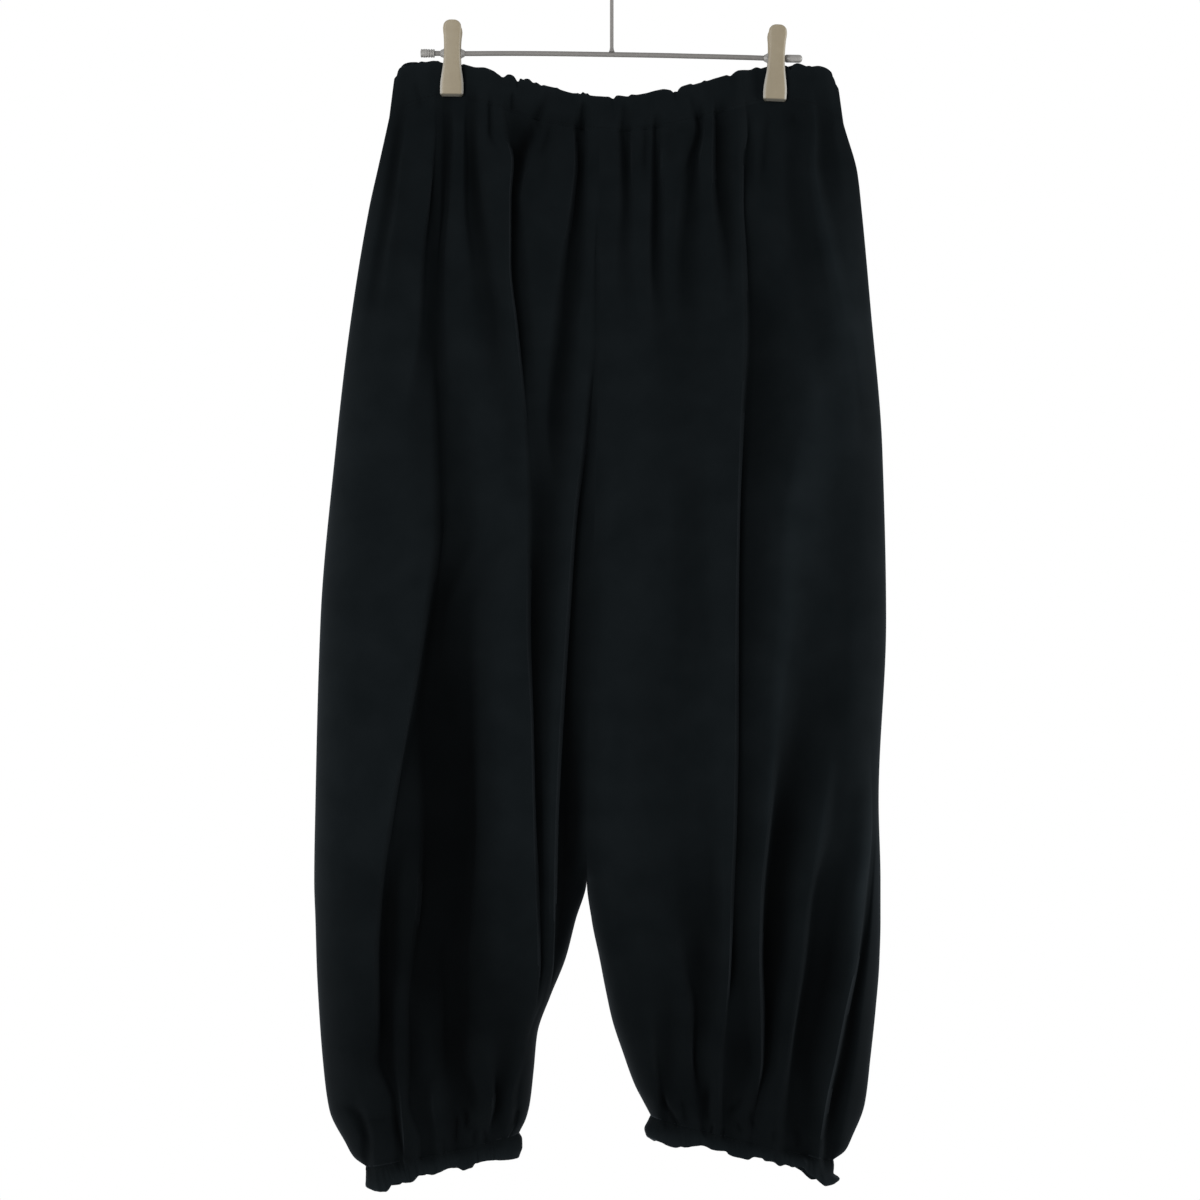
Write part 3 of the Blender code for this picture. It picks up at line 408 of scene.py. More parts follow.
         (75, 75, 71.5, 73, 76, 76, 82.5, 85.5, 86,
          87, 87.5, 88.5, 88.5, 85, 80, 80.5, 80.5),
         (0, 0, 0, 0, 0, 1, 0.2, 0, 0.2, 0, 0.4, 0.5, 0.6, 0.9, 0.5, 3, 1.6)),
        ("third end",
         (70, 71.5, 68, 65.5, 63.5, 64, 73, 77, 79,
          80.5, 83.5, 86.5, 87, 84, 79, 80, 80),
         (4, 9, 9.5, 6.5, 4.5, 3, 0.8, 0.5, 1.2, 0.2, 1, 3, 1.5, 1.3, 0.8, 4.2, 2.2)),
        ("third foot",
         (66, 69.5, 65, 61.5, 56.5, 57, 68, 72, 75,
          77, 80, 83.5, 85, 83.5, 79, 79.5, 79.5),
         (4, 7.5, 8.5, 6.5, 6, 3.5, 1.3, 2, 2.8, 0.4, 2, 5.2, 3, 1.9, 1.1, 5.5, 2.8)),
        ("third edge",
         (62.5, 66, 58.5, 53.5, 50, 51, 63.5, 68, 71,
          73, 77, 79.5, 82.5, 83, 78.5, 79, 79),
         (0, 0, 0, 0, 1, 3, 1.7, 2.6, 3.2, 0.5, 2.6, 6.2, 5, 2.5, 1.5, 6.5, 3.4)),
        ("third ridge",
         (38.5, 41, 40.5, 43, 43, 44.5, 57, 61.5, 65,
          67, 72, 74.5, 77.5, 80, 76, 77, 77),
         (0, 0.5, 0, 0, 0.5, 3, 1.7, 3, 3.4, 1.5, 3, 6.2, 7.5, 3.5, 2, 7.5, 4)),
        ("second end",
         (32.5, 36.5, 37.5, 37, 37.5, 40, 52.5, 56.5, 58.5,
          61.5, 65.5, 67, 71.5, 71.5, 69, 75.5, 75.5),
         (3, 5.5, 8.5, 10, 7.5, 3, 1.6, 3, 3.4, 1.8, 3, 6.4, 10, 9.5, 7, 8, 4.5)),
        ("second foot",
         (28.5, 35.5, 35, 34, 33.5, 35.5, 47, 50.5, 52,
          54, 57.5, 57.5, 60.5, 67, 65, 72, 74),
         (3, 7, 8, 8.5, 6.5, 3, 1.5, 2.7, 3, 2.2, 3.6, 6, 8, 11, 11, 8.5, 5)),
        ("second edge",
         (24.5, 31, 30.5, 29, 28, 30.5, 39.5, 43.5, 44,
          45.5, 47, 48.5, 53.5, 60.5, 61.5, 64.5, 70.5),
         (0, 1, 1, 0, 0, 1, 1.2, 1.2, 1, 2.5, 2.8, 3.6, 2, 1.5, 1.2, 3, 1)),
        ("second ridge",
         (14.5, 17.5, 17.5, 19, 19, 22.5, 30, 34, 34,
          34, 34, 39.5, 46, 55.5, 55.5, 51, 62),
         (0, 0, 0, 0, 0, 0, 0.8, 0.6, 0.6, 2.6, 2.3, 2.6, 1, 1, 1.5, 3, 1)),
        ("first end",
         (10, 13, 13.5, 13.5, 13.5, 16.5, 22.5, 26, 26,
          22, 22, 30, 38, 46, 46, 46, 49.5),
         (3, 7, 9, 6.5, 2.5, 0, 0.3, 0.3, 0.4, 2.2, 1.6, 1.7, 0.6, 4.5, 6, 5, 4)),
        ("first foot",
         (6, 10, 11.5, 12, 9.5, 10.5, 10, 9.5, 8,
          8, 8, 17.5, 30, 37, 37.5, 42, 45.5),
         (3, 7, 8.5, 6, 3, 0, 0, 0, 0.5, 0.5, 0.3, 1.5, 0.4, 3.5, 6, 9, 5)),
        ("centre ridge",
         (-0.5, 2.5, 4, 3.5, 1, 3.5, 1.5, -1.5, -3,
          -4.5, -4.5, 5, 22, 27, 31.5, 34, 38.5),
         (0, 0, 0, 0, 0, 0, 0, 0, 0, 0, 0, 1, 0, 0, 0, 0, 0)),
    ),
}
CENTRE_DEPTHS = np.array((0.5, 0.5, 0.5, 0.5, 0.5, 1, 2, 3, 3.5,
                          4, 4, 3, 1, 0, 0, 0, 0))
BACK_FOLD_SCALE = 0.85
FULL_SHADE_DEPTH = 13.0        # a fold this deep gets the darkest painted shade
FULL_HIGHLIGHT_HEIGHT = 4.0          # one that stands this far out gets the brightest painted highlight
# Places across, in millimetres, where the fold depth is averaged for the painted shade
SHADE_AVERAGE_REACH = (-4.0, -2.0, 0.0, 2.0, 4.0)
FOLD_RELIEF = 0.8
# How strongly the small creases count towards the painted shade
SMALL_FOLD_SHADE = 1.8
GATHER_SHADE = np.array((
    # (fall, share by which the colour there is darkened as painted shade of the gathers)
    (-40, 0), (0, 0.12), (40, 0.16), (120, 0.10), (200, 0), (560, 0), (640, 0.2), (720, 0.45),
    (830, 0.45),
))
LEAST_FOLD_SPACING = 0.9
SETTLING_ROUNDS = 4       # a fold line's place and the sag under it are fitted this often
SIDES = {"right": -1.0, "left": 1.0}
FACINGS = {"front": -1.0, "back": 1.0}
CUFFS = {
    # (across, fall) of the seam's inner and outer end
    "right": ((-74, 811.5), (-197, 839)),
    "left": ((31, 797.5), (177.5, 833.5)),
}
HEMS = {
    # (across, fall) along a cuff's frilled lower edge, from the inner end
    "right": (
        (-74, 831), (-85.5, 831), (-104, 832), (-108.5, 833.5), (-111, 837), (-114.5, 838),
        (-118, 839), (-123.5, 837), (-127, 837), (-143, 842.5), (-150.5, 842), (-153.5, 843.5),
        (-157.5, 847.5), (-159.5, 848.5), (-174, 849.5), (-177.5, 854.5), (-179.5, 856),
        (-191.5, 857),
    ),
    "left": (
        (32, 816), (40, 817.5), (43, 819), (51.5, 821), (55, 820.5), (58.5, 821), (68.5, 819.5),
        (72.5, 819.5), (80.5, 823), (90.5, 824), (93, 826.5), (103.5, 829.5), (108.5, 830.5),
        (113.5, 828.5), (119.5, 829.5), (121.5, 831.5), (124, 832), (127, 832), (133.5, 835.5),
        (138, 834.5), (144, 836.5), (152, 836.5), (154, 838.5), (155, 840.5), (162, 845.5),
        (165.5, 849), (170, 852), (177.5, 851),
    ),
}
CUFF_BULGES = {
    # how far the inner and the outer end stand out between seam and hem, at shares
    # of the way down
    "right": ((0, 2.4, 2.6, 1.0, 0), (0, 1.2, 3.2, 4.6, 0)),
    "left": ((0, 2.5, 5.6, 4.5, 0), (0, 0.5, 0, 5.0, 2)),
}
BULGE_LEVELS = (0, 0.25, 0.6, 0.85, 1)
BULGE_REACH = 0.05
CUFF_ROWS = 20
CUFF_COLUMNS = 230
CUFF_CROWDING = 0.4       # share of a cuff's columns that crowd towards its ends
CUFF_BLEND = 0.6          # share of its height over which it loses the leg's folds
CUFF_SWELL = 0.9
CUFF_CREASING = 0.5
RUFFLE_ROUND = 6.5
# Painted highlight: how much the cuff's colour is lightened at its hem
HEM_PAINTED_HIGHLIGHT = 0.5
CUFF_DEPTH = 15.0
CUFF_FLARE = 0.12
CUFF_ROUND = 16.0
BACK_HEM_SHIFT = 9.0
WAIST_ROWS = 24
WAIST_COLUMNS = 420
WAIST_CROWDING = 0.35     # share of a casing's columns that crowd towards its ends
FOLDS_REACH = 0.8         # share of the casing that the panels' folds reach up
CASING_FILL = 0.8         # share of the folds' depth that the casing fills out
CASING_SWELL = 0.9
CASING_ROUND = 8.5
CASING_FREEDOM = 0.1      # share of its relief that is left under the clips
CASING_INSET = 1.5        # its inner side stands this much further in than its wall
LEAST_CASING_DEPTH = 0.3
RIM_DRAW = 0.5            # the rim draws in this far for each millimetre of its lift
# Painted highlight: how much the casing's colour is lightened at its top rim
RIM_PAINTED_HIGHLIGHT = 0.3
# Waves of the gathers: height, radians for each unit, start, how far the wander shifts it.
RIDGE_WANDER = ((1.9, 1 / 17.0, 0.0, 0.0), (1.1, 1 / 6.3, 1.0, 0.0))
RIDGE_WAVES = ((0.22, 1 / 1.45, 0.0, 1.0), (0.18, 1 / 3.7, 0.0, -1.4))
RIDGE_BASE = 0.22
RUFFLE_WANDER = ((2.1, 19.0, 0.6, 0.0), (1.2, 47.0, 0.0, 0.0))
RUFFLE_BROAD = (1.0, 11 * math.tau, 0.0, 1.0)
RUFFLE_FINE = (0.3, 24 * math.tau, 0.0, -1.5)
RUFFLE_SEAM = 0.3         # share of the broad gathers that is there above the hem
RUFFLE_START = 0.4        # share of the height over which the gathers set in
RUFFLE_CALM = (6.0, 0.35)      # how fast they grow from the sides, and their least share
CASING_EDGE = np.array((
    # (across, lift of the top edge over its smooth line)
    (-172.5, -7.5), (-171.5, -2), (-169.5, 0), (-164, -2), (-161.5, -2), (-159, 0),
    (-157.5, -2), (-152, 0), (-149, -0.5), (-142, 0.5), (-133, -1.5), (-121, -2),
    (-118.5, -0.5), (-110, -1), (-101, 0.5), (-94, -0.5), (-87, -3), (-82.5, 0.5), (-80.5, 1),
    (-78, 0.5), (-75, -3), (-72.5, 0.5), (-70.5, 0), (-68.5, 1.5), (-66, 2), (-62.5, 0),
    (-60, 1), (-56, -0.5), (-54, 0.5), (-45.5, 0.5), (-43.5, 1), (-41.5, 0), (-29.5, -1),
    (-27, -0.5), (-25, -1), (-23, 1), (-21, 0), (-19, 0.5), (-17.5, -1), (-3, -1), (1.5, -2.5),
    (3, -0.5), (5, 0), (13, -1), (15.5, 0.5), (20, 0), (40, 2), (46.5, 0), (51, -3.5), (52, -3),
    (53.5, -0.5), (56, 1), (62.5, 1.5), (65, 0), (71, 0), (73.5, 1), (76, 0), (91, 0),
    (94.5, -1.5), (98.5, 0.5), (100.5, 1), (110.5, -0.5), (115, 0.5), (121.5, -2), (139, -1),
    (141.5, -2.5), (143, -4.5), (144, -4), (146, 0), (148, 1), (157.5, -1.5), (166, 0.5),
    (175.5, 1.5), (176.5, 0), (177.5, -3.5),
))

# Rows of a panel: from this fall on, this far apart.
ROW_STEPS = ((0, 1.8), (90, 2.6), (160, 3.4), (560, 2.5), (625, 3.0), (730, 1.9))
COLUMN_STEP = 1.6         # about this far between a panel's columns
LEAST_COLUMNS = 2         # between two fold lines
EDGE_COLUMNS = 9          # between a side seam and the first fold line

STITCH_PITCH = 3.2
STITCH_LENGTH = 2.3
STITCH_RADIUS = 0.24
STITCH_SIDES = 6
STITCH_RINGS = (
    # share of the length, share of the radius
    (0, 0.3), (0.14, 0.8), (0.35, 1), (0.65, 1), (0.86, 0.8), (1, 0.3),
)
STITCHED_ROW = 2          # this row of a casing, counted from its seam

# A crease fades in over this share of its length, from this share of its depth.
CREASE_FADE = (0.3, 0.25)
# Small creases, each a soft trough that starts and ends in the cloth:
# depth, width to the right side, width to the left side, (across, fall) places.
CREASES = {
    "right": (
        (1.5, 2.6, 2.2, ((-157, -31), (-156, -22), (-153.5, -15), (-152.5, -3))),
        (1.6, 2.2, 2.6, ((-98, -16), (-97, -4), (-96.5, 10), (-98, 24))),
        (1.8, 2.0, 1.8, ((-79, -20), (-79, -11), (-79.5, -3))),
        (3.0, 5.0, 3.0, ((-52, -18), (-56, -4), (-62, 10), (-70, 28), (-74, 50))),
        (2.2, 3.0, 3.0, ((-49, 1.5), (-50, 10.5), (-52, 19), (-54, 28), (-55, 40), (-56, 54))),
        (2.6, 2.4, 3.0, ((-23, -15), (-23, -6), (-23.5, 6), (-24, 18))),
        (0.9, 5.0, 5.0, ((-37, -2), (-40, 18))),
        (1.0, 4.0, 6.0, ((-165, 30), (-170, 90), (-178, 160))),
        (3.0, 3.5, 5.0, ((-216, 788), (-206, 790), (-200, 794), (-196, 803), (-194.5, 815),
                         (-195, 827))),
        (1.4, 2.6, 2.6, ((-194, 797), (-185, 797.5), (-178, 796))),
        (3.2, 2.6, 2.6, ((-172, 786), (-171, 797), (-169.5, 807), (-167, 817.5), (-165, 825.5),
                         (-160, 833))),
        (2.4, 1.5, 1.5, ((-134.5, 808), (-133.5, 820), (-133.5, 833))),
        (3.0, 1.8, 1.8, ((-124.5, 790), (-123, 800), (-123.5, 810), (-124, 820))),
        (3.0, 1.8, 1.8, ((-115.5, 789), (-114.5, 798), (-114, 808))),
        (2.8, 1.8, 1.8, ((-109, 800), (-108.5, 810), (-110, 820))),
        (2.6, 2.0, 2.0, ((-102, 803), (-100.5, 812), (-100.5, 819))),
        (3.6, 2.4, 2.6, ((-74.5, 788), (-76.5, 796), (-79, 806))),
    ),
    "left": (
        (1.4, 2.6, 2.6, ((9.5, -12), (10, 0), (9, 10))),
        (2.4, 3.0, 2.4, ((26, 4), (27, 18), (26, 34), (25.5, 48))),
        (1.2, 4.0, 4.0, ((46.5, 8), (46.5, 20), (46.5, 40))),
        (1.4, 3.0, 3.0, ((58, 8), (58, 13))),
        (1.6, 2.4, 2.6, ((64, -16), (65, -6), (66, 4))),
        (2.2, 5.0, 2.6, ((69, 2), (66, 20), (60, 40), (54, 58))),
        (2.4, 3.0, 2.6, ((124, -6), (123, 12), (121, 36), (118.5, 52))),
        (1.4, 2.0, 2.2, ((144.5, -4), (144.5, 6))),
        (3.6, 2.4, 2.4, ((38, 773.5), (42, 785), (47.5, 793.5), (51.5, 801), (52.5, 807))),
        (2.8, 2.6, 2.6, ((55, 779), (57.5, 790.5), (59.5, 802.5))),
        (2.6, 4.0, 4.0, ((78, 768), (75, 781), (75, 792), (76, 803))),
        (2.6, 1.6, 1.6, ((81, 800), (80, 807), (79.5, 812))),
        (2.2, 2.0, 2.0, ((38, 803), (37.5, 811))),
        (1.6, 2.0, 2.0, ((87.5, 804), (88.5, 812.5))),
        (2.4, 3.0, 3.0, ((103.5, 778), (100, 785.5), (93, 793))),
        (2.0, 2.0, 2.0, ((99.5, 799), (103.5, 809))),
        (2.4, 2.4, 2.4, ((111.5, 787.5), (110.5, 797), (113, 804))),
        (2.0, 2.0, 2.0, ((128, 805), (129.5, 816))),
        (2.4, 3.0, 3.0, ((145.5, 803), (148.5, 814.5), (148, 823))),
    ),
}

# ---- studio -------------------------------------------------------------
CAMERA_PLACE = (-0.0094, -2.6, -0.5568)
CAMERA_LENS = 97.5
SENSOR_WIDTH = 36
WORLD_GLOW = 0.5
BACKDROP_GLOW = 1.0
LIGHTS = (
    # name, place, aim, size, power
    ("key light", (-1.3, -1.75, -0.3), (0, 0, -0.55), 1.1, 34),
    ("right side light", (2.6, -0.3, -0.45), (0, 0, -0.6), 1.4, 60),
    ("left rim light", (-2.6, 0.7, -0.6), (0, 0, -0.6), 1.4, 26),
)
FLOOR_HEIGHT = -1.45
FLOOR_RADIUS = 2.2
FLOOR_FADE = (0.8, 2.1)   # distances between which the floor fades out


# ---- smooth curves ------------------------------------------------------
def curve_slopes(places, values):
    """Slopes that keep a cubic flat at each ridge and valley."""
    step = np.diff(places)[:, None]
    rise = np.diff(values, axis=0) / step
    slopes = np.zeros_like(values)
    before, after = rise[:-1], rise[1:]
    first = 2 * step[1:] + step[:-1]
    second = step[1:] + 2 * step[:-1]
    turning = before * after <= 0
    safe_before = np.where(turning, 1.0, before)
    safe_after = np.where(turning, 1.0, after)
    mean = (first + second) / (first / safe_before + second / safe_after)
    slopes[1:-1] = np.where(turning, 0.0, mean)
    slopes[0], slopes[-1] = rise[0], rise[-1]
    return slopes


def curve_through(places, values, at):
    """Read smooth columns of values, known at places, at other places."""
    places = np.asarray(places, float)
    values = np.asarray(values, float)
    columns = values if values.ndim == 2 else values[:, None]
    slopes = curve_slopes(places, columns)
    at = np.atleast_1d(np.clip(at, places[0], places[-1]))
    low = np.clip(np.searchsorted(places, at, side="right") - 1, 0, len(places) - 2)
    step = (places[low + 1] - places[low])[:, None]
    t = (at - places[low])[:, None] / step
    read = ((1 + 2 * t) * (1 - t) ** 2 * columns[low]
            + t * (1 - t) ** 2 * step * slopes[low]
            + t * t * (3 - 2 * t) * columns[low + 1]
            + t * t * (t - 1) * step * slopes[low + 1])
    return read if values.ndim == 2 else read[:, 0]


def curve_value(places, values, at):
    return float(curve_through(places, values, at)[0])


def outline(column, fall):
    index = OUTLINE_COLUMNS.index(column)
    return curve_through(OUTLINE[:, 0], OUTLINE[:, index], fall)


def ease(t):
    t = np.clip(t, 0.0, 1.0)
    return t * t * (3 - 2 * t)


def crowded_ends(count, share):
    """Places from 0 to 1, a share of them crowded towards both ends."""
    even = np.linspace(0, 1, count)
    return (1 - share) * even + share * (0.5 - 0.5 * np.cos(np.pi * even))


def wave(at, row, wander=0.0):
    height, rate, start, shift = row
    return height * np.sin(rate * at + start + shift * wander)


# ---- form of the cloth --------------------------------------------------
def waist_shift(across, level=0.0):
    """How far the waist sags at `across`; level 0 is the seam, 1 the top."""
    middle = (CLIP_X["right"] + CLIP_X["left"]) / 2
    half = (CLIP_X["left"] - CLIP_X["right"]) / 2
    inside = np.clip(1 - ((across - middle) / half) ** 2, 0, 1)
    sag = WAIST_SAG * inside ** 1.5
    outside = np.clip((np.abs(across - middle) - half) / SHOULDER_REACH, 0, None)
    shoulder = (1 - level) * SHOULDER_DROP * outside ** 2
    corner = level * CORNER_DROP * outside ** 6
    return sag + shoulder + corner - CLIP_LINE + WAIST_TILT * (across - middle)


def pinch(across, fall):
    """Share of the depth that the clips leave, from 0 to 1."""
    held = 0.0
    for leg, x in CLIP_X.items():
        outward = (across - x) * SIDES[leg]
        inside = np.exp(-(outward / PINCH_WIDTH) ** 4)
        outside = 1 - SHOULDER_FREEDOM * ease(outward / SHOULDER_REACH)
        held = held + np.where(outward > 0, outside, inside)
    return 1 - held * np.exp(-fall / PINCH_FADE)


def turned_edge(distance, reach, share=1.0):
    """Quarter-ellipse depth near an edge; share 0 leaves the edge standing."""
    t = np.clip(distance / reach, 0, 1)
    return np.sqrt(np.clip(1 - share * (1 - t) ** 2, 0, 1))


def crotch_share(fall):
    """1 where the two legs are apart, fading to 0 above the crotch."""
    above = np.clip((CROTCH_FALL - fall) / CROTCH_RISE, 0, 1)
    return (1 - above) ** 2


def source_leg(leg, face):
    """The back's folds are the front's, mirrored."""
    return leg if face == "front" else ("left" if leg == "right" else "right")


def fold_lines(leg, face, fall):
    """Places and depths of a panel's fold lines in the rows `fall`, side edge to centre."""
    fall = np.atleast_1d(fall)
    source = source_leg(leg, face)
    places = np.empty((len(fall), len(FOLDS[source])))
    depths = np.empty_like(places)
    for line, (_, across, depth) in enumerate(FOLDS[source]):
        place = curve_through(FOLD_FALLS, across, fall)
        for _ in range(SETTLING_ROUNDS):
            place = curve_through(FOLD_FALLS, across, hung_fall(source, fall, place))
        places[:, line] = place
        depth = np.broadcast_to(depth, FOLD_FALLS.shape)
        depths[:, line] = curve_through(FOLD_FALLS, depth, hung_fall(source, fall, place))
    side, inner = outline(f"{leg}_side", fall), outline(f"{leg}_inseam", fall)
    if face == "back":
        there, over = outline(f"{source}_side", fall), outline(f"{source}_inseam", fall)
        share = (places - there[:, None]) / (over - there)[:, None]
        places = side[:, None] + share * (inner - side)[:, None]
        depths *= BACK_FOLD_SCALE
    centre_depth = curve_through(FOLD_FALLS, CENTRE_DEPTHS, fall)
    places = np.column_stack((side, places, inner))
    depths = np.column_stack((depths[:, 0], depths, centre_depth))
    inward = -SIDES[leg]
    for i in range(1, places.shape[1] - 1):
        least = places[:, i - 1] * inward + LEAST_FOLD_SPACING
        places[:, i] = np.maximum(places[:, i] * inward, least) * inward
    for i in range(places.shape[1] - 2, 0, -1):
        most = places[:, i + 1] * inward - LEAST_FOLD_SPACING
        places[:, i] = np.minimum(places[:, i] * inward, most) * inward
    return places, depths


def cloth_depth(leg, face, fall, across, fold_depth):
    """Distance of a panel's outer side from the middle plane."""
    side = outline(f"{leg}_side", fall)[:, None]
    inner = outline(f"{leg}_inseam", fall)[:, None]
    from_side = np.abs(across - side)
    from_inner = np.abs(inner - across)
    share_across = from_side / np.abs(inner - side)
    arch = SIDE_FLATNESS + (1 - SIDE_FLATNESS) * np.sin(np.pi * np.minimum(share_across, 0.5))
    envelope = outline(f"{face}_depth", fall)[:, None] * arch
    room = np.maximum(envelope - LEAST_DEPTH, 1.0)
    depth = envelope - room * np.tanh(FOLD_RELIEF * fold_depth / room)
    column = fall[:, None]
    depth = PINCHED_DEPTH + (depth - PINCHED_DEPTH) * pinch(across, column)
    depth = depth * turned_edge(from_side, SIDE_ROUND)
    return depth * turned_edge(from_inner, INSEAM_ROUND, crotch_share(column))


def cuff_seam_fall(leg, across):
    (x_in, fall_in), (x_out, fall_out) = CUFFS[leg]
    return fall_in + (fall_out - fall_in) * (across - x_in) / (x_out - x_in)


def hung_fall(leg, fall, across):
    """Real fall of a panel point, from its row's nominal one."""
    waist = waist_shift(across) * np.clip(1 - fall / WAIST_FADE, 0, 1) ** 2
    near_cuff = ease((fall - CUFF_LEAD) / (HEM_FALL - CUFF_LEAD))
    return fall + waist + (cuff_seam_fall(leg, across) - HEM_FALL) * near_cuff


# ---- small creases and gathers ------------------------------------------
def crease(across, fall, depth, right_width, left_width, places):
    """Depth of one soft trough along a short line of places."""
    line = np.array(places, float)
    reached = np.zeros_like(across)
    spans = len(line) - 1
    for i in range(spans):
        start, run = line[i], line[i + 1] - line[i]
        length = math.hypot(*run)
        t = ((across - start[0]) * run[0] + (fall - start[1]) * run[1]) / length ** 2
        held = np.clip(t, 0, 1)
        off_x = across - start[0] - held * run[0]
        off_fall = fall - start[1] - held * run[1]
        turn = np.sign(off_x * run[1] - off_fall * run[0])
        width = np.where(turn < 0, right_width, left_width)
        profile = np.exp(-(off_x ** 2 + off_fall ** 2) / width ** 2)
        along = (i + held) / spans
        run_in, least = CREASE_FADE
        fade = least + (1 - least) * ease(np.minimum(along, 1 - along) / run_in)
        reached = np.maximum(reached, depth * profile * fade)
    return reached


def small_folds(leg, face, across, fall):
    """Depth of the small creases, also of the gathers beside the casings."""
    source = source_leg(leg, face)
    place = across
    if face == "back":
        side, inner, there, over = (
            outline(f"{of}_{edge}", fall.ravel()).reshape(fall.shape)
            for of in (leg, source) for edge in ("side", "inseam"))
        place = there + (across - side) / (inner - side) * (over - there)
    return sum(crease(place, fall, *row) for row in CREASES[source])


def panel_rows():
    """Falls of a panel's rows, closer together at the waist and the cuff."""
    falls = []
    for (start, step), (end, _) in zip(ROW_STEPS, ROW_STEPS[1:] + ((HEM_FALL, 0),)):
        count = max(1, round((end - start) / step))
        falls += list(np.linspace(start, end, count, endpoint=False))
    falls = np.array(falls + [HEM_FALL])
    falls[np.argmin(np.abs(falls - CROTCH_FALL))] = CROTCH_FALL
    return falls


def column_plan(leg, face):
    """Columns of a panel as (fold line, share of the way to the next)."""
    places, _ = fold_lines(leg, face, FOLD_FALLS)
    widths = np.abs(np.diff(places, axis=1)).mean(axis=0)
    last = len(widths) - 1
    plan = []
    for i, width in enumerate(widths):
        count = max(LEAST_COLUMNS, round(width / COLUMN_STEP))
        if i == 0:
            shares = (np.arange(EDGE_COLUMNS) / EDGE_COLUMNS) ** 2
        elif i == last:
            shares = 1 - (1 - np.arange(EDGE_COLUMNS) / EDGE_COLUMNS) ** 2
        else:
            shares = np.arange(count) / count
        plan += [(i, share) for share in shares]
    plan.append((last, 1.0))
    return plan


def shade_of(depth, fall):
    """Painted shade for the cloth's colour: how much darker a fold and the gathers near it are
    painted, below 0 where a ridge gets a painted highlight.
    """
    gathered = np.interp(fall, GATHER_SHADE[:, 0], GATHER_SHADE[:, 1])
    level = np.where(depth > 0, depth / FULL_SHADE_DEPTH, depth / FULL_HIGHLIGHT_HEIGHT)
    return 1 - (1 - np.clip(level, -1, 1)) * (1 - gathered)


def panel_points(leg, face, falls, plan):
    """Outer points of a panel, as rows down the leg and columns across."""
    lines, line_depths = fold_lines(leg, face, falls)
    index = np.array([i for i, _ in plan])
    share = np.array([s for _, s in plan])
    across = lines[:, index] + share * (lines[:, index + 1] - lines[:, index])
    folds, around = np.empty_like(across), np.zeros_like(across)
    inward = -SIDES[leg]
    for row in range(len(falls)):
        for shift in SHADE_AVERAGE_REACH:
            read = curve_through(lines[row] * inward, line_depths[row],
                                 across[row] * inward + shift)
            around[row] += read / len(SHADE_AVERAGE_REACH)
            if shift == 0:
                folds[row] = read
    fall = hung_fall(leg, falls[:, None], across)
    relief = small_folds(leg, face, across, fall)
    # Painted shade: darker colour in the folds and creases, lighter colour on raised ridges
    hollow = shade_of(np.minimum(folds, around) + SMALL_FOLD_SHADE * relief, fall)
    folds += relief
    depth = cloth_depth(leg, face, falls, across, folds)
    points = np.stack((across, FACINGS[face] * (depth - LAP), -WAIST_SEAM_FALL - fall), axis=2)
    return points, hollow


def grid_normals(points):
    down = np.gradient(points, axis=0)
    over = np.gradient(points, axis=1)
    normals = np.cross(down, over)
    return normals / np.maximum(np.linalg.norm(normals, axis=2, keepdims=True), 1e-9)


# ---- meshes of cloth ----------------------------------------------------
def face_outwards(mesh):
    """Turn every face of a closed mesh outwards, and shade it smooth."""
    bm = bmesh.new()
    bm.from_mesh(mesh)
    bmesh.ops.recalc_face_normals(bm, faces=bm.faces)
    bm.to_mesh(mesh)
    bm.free()
    mesh.shade_smooth()


def shell(name, outer, inner, closed, hollow):
    """A thin shell of cloth between two grids of points, with its own UV map, and
    with an attribute of painted shade and highlight: -1 on a ridge, 0 on flat cloth, 1 deep in a
    fold."""
    rows, columns = outer.shape[:2]
    points = np.concatenate((outer.reshape(-1, 3), inner.reshape(-1, 3))) * MM
    out = np.arange(rows * columns).reshape(rows, columns)
    into = out + rows * columns
    if closed:
        out = np.hstack((out, out[:, :1]))
        into = np.hstack((into, into[:, :1]))

    def quads(a, b, c, d):
        return np.stack([part.ravel() for part in (a, b, c, d)], axis=1)

    faces = [quads(out[:-1, :-1], out[1:, :-1], out[1:, 1:], out[:-1, 1:]),
             quads(into[:-1, 1:], into[1:, 1:], into[1:, :-1], into[:-1, :-1]),
             quads(out[0, :-1], out[0, 1:], into[0, 1:], into[0, :-1]),
             quads(into[-1, :-1], into[-1, 1:], out[-1, 1:], out[-1, :-1])]
    if not closed:
        faces.append(quads(into[:-1, 0], into[1:, 0], out[1:, 0], out[:-1, 0]))
        faces.append(quads(out[:-1, -1], out[1:, -1], into[1:, -1], into[:-1, -1]))
    mesh = bpy.data.meshes.new(name)
    mesh.from_pydata(points.tolist(), [], np.concatenate(faces).tolist())
    step = np.linalg.norm(np.diff(outer, axis=1), axis=2)
    over = np.hstack((np.zeros((rows, 1)), np.cumsum(step, axis=1)))
    over -= over[:, columns // 2][:, None]
    down = np.broadcast_to(-outer[:, :, 2], over.shape)
    places = np.stack((over, down), axis=2).reshape(-1, 2) * MM
    places = np.concatenate((places, places))
    corners = np.empty(len(mesh.loops), dtype=np.int32)
    mesh.loops.foreach_get("vertex_index", corners)
    mesh.uv_layers.new(name="cloth").uv.foreach_set("vector", places[corners].ravel())
    held = mesh.attributes.new("hollow", "FLOAT", "POINT")
    held.data.foreach_set("value", np.concatenate((hollow.ravel(), hollow.ravel())))
    face_outwards(mesh)
    mesh.set_sharp_from_angle(angle=SHARP_EDGE)
    return mesh


def add_piece(name, mesh, finish):
    mesh.materials.append(finish)
    made = bpy.data.objects.new(name, mesh)
    bpy.context.scene.collection.objects.link(made)
    return made


def trim_to_seams(points, leg):
    inward = -SIDES[leg]
    points[0, :, 2] += LAP
    points[-1, :, 2] -= LAP
    points[:, -1, 0] += inward * LAP
    return points


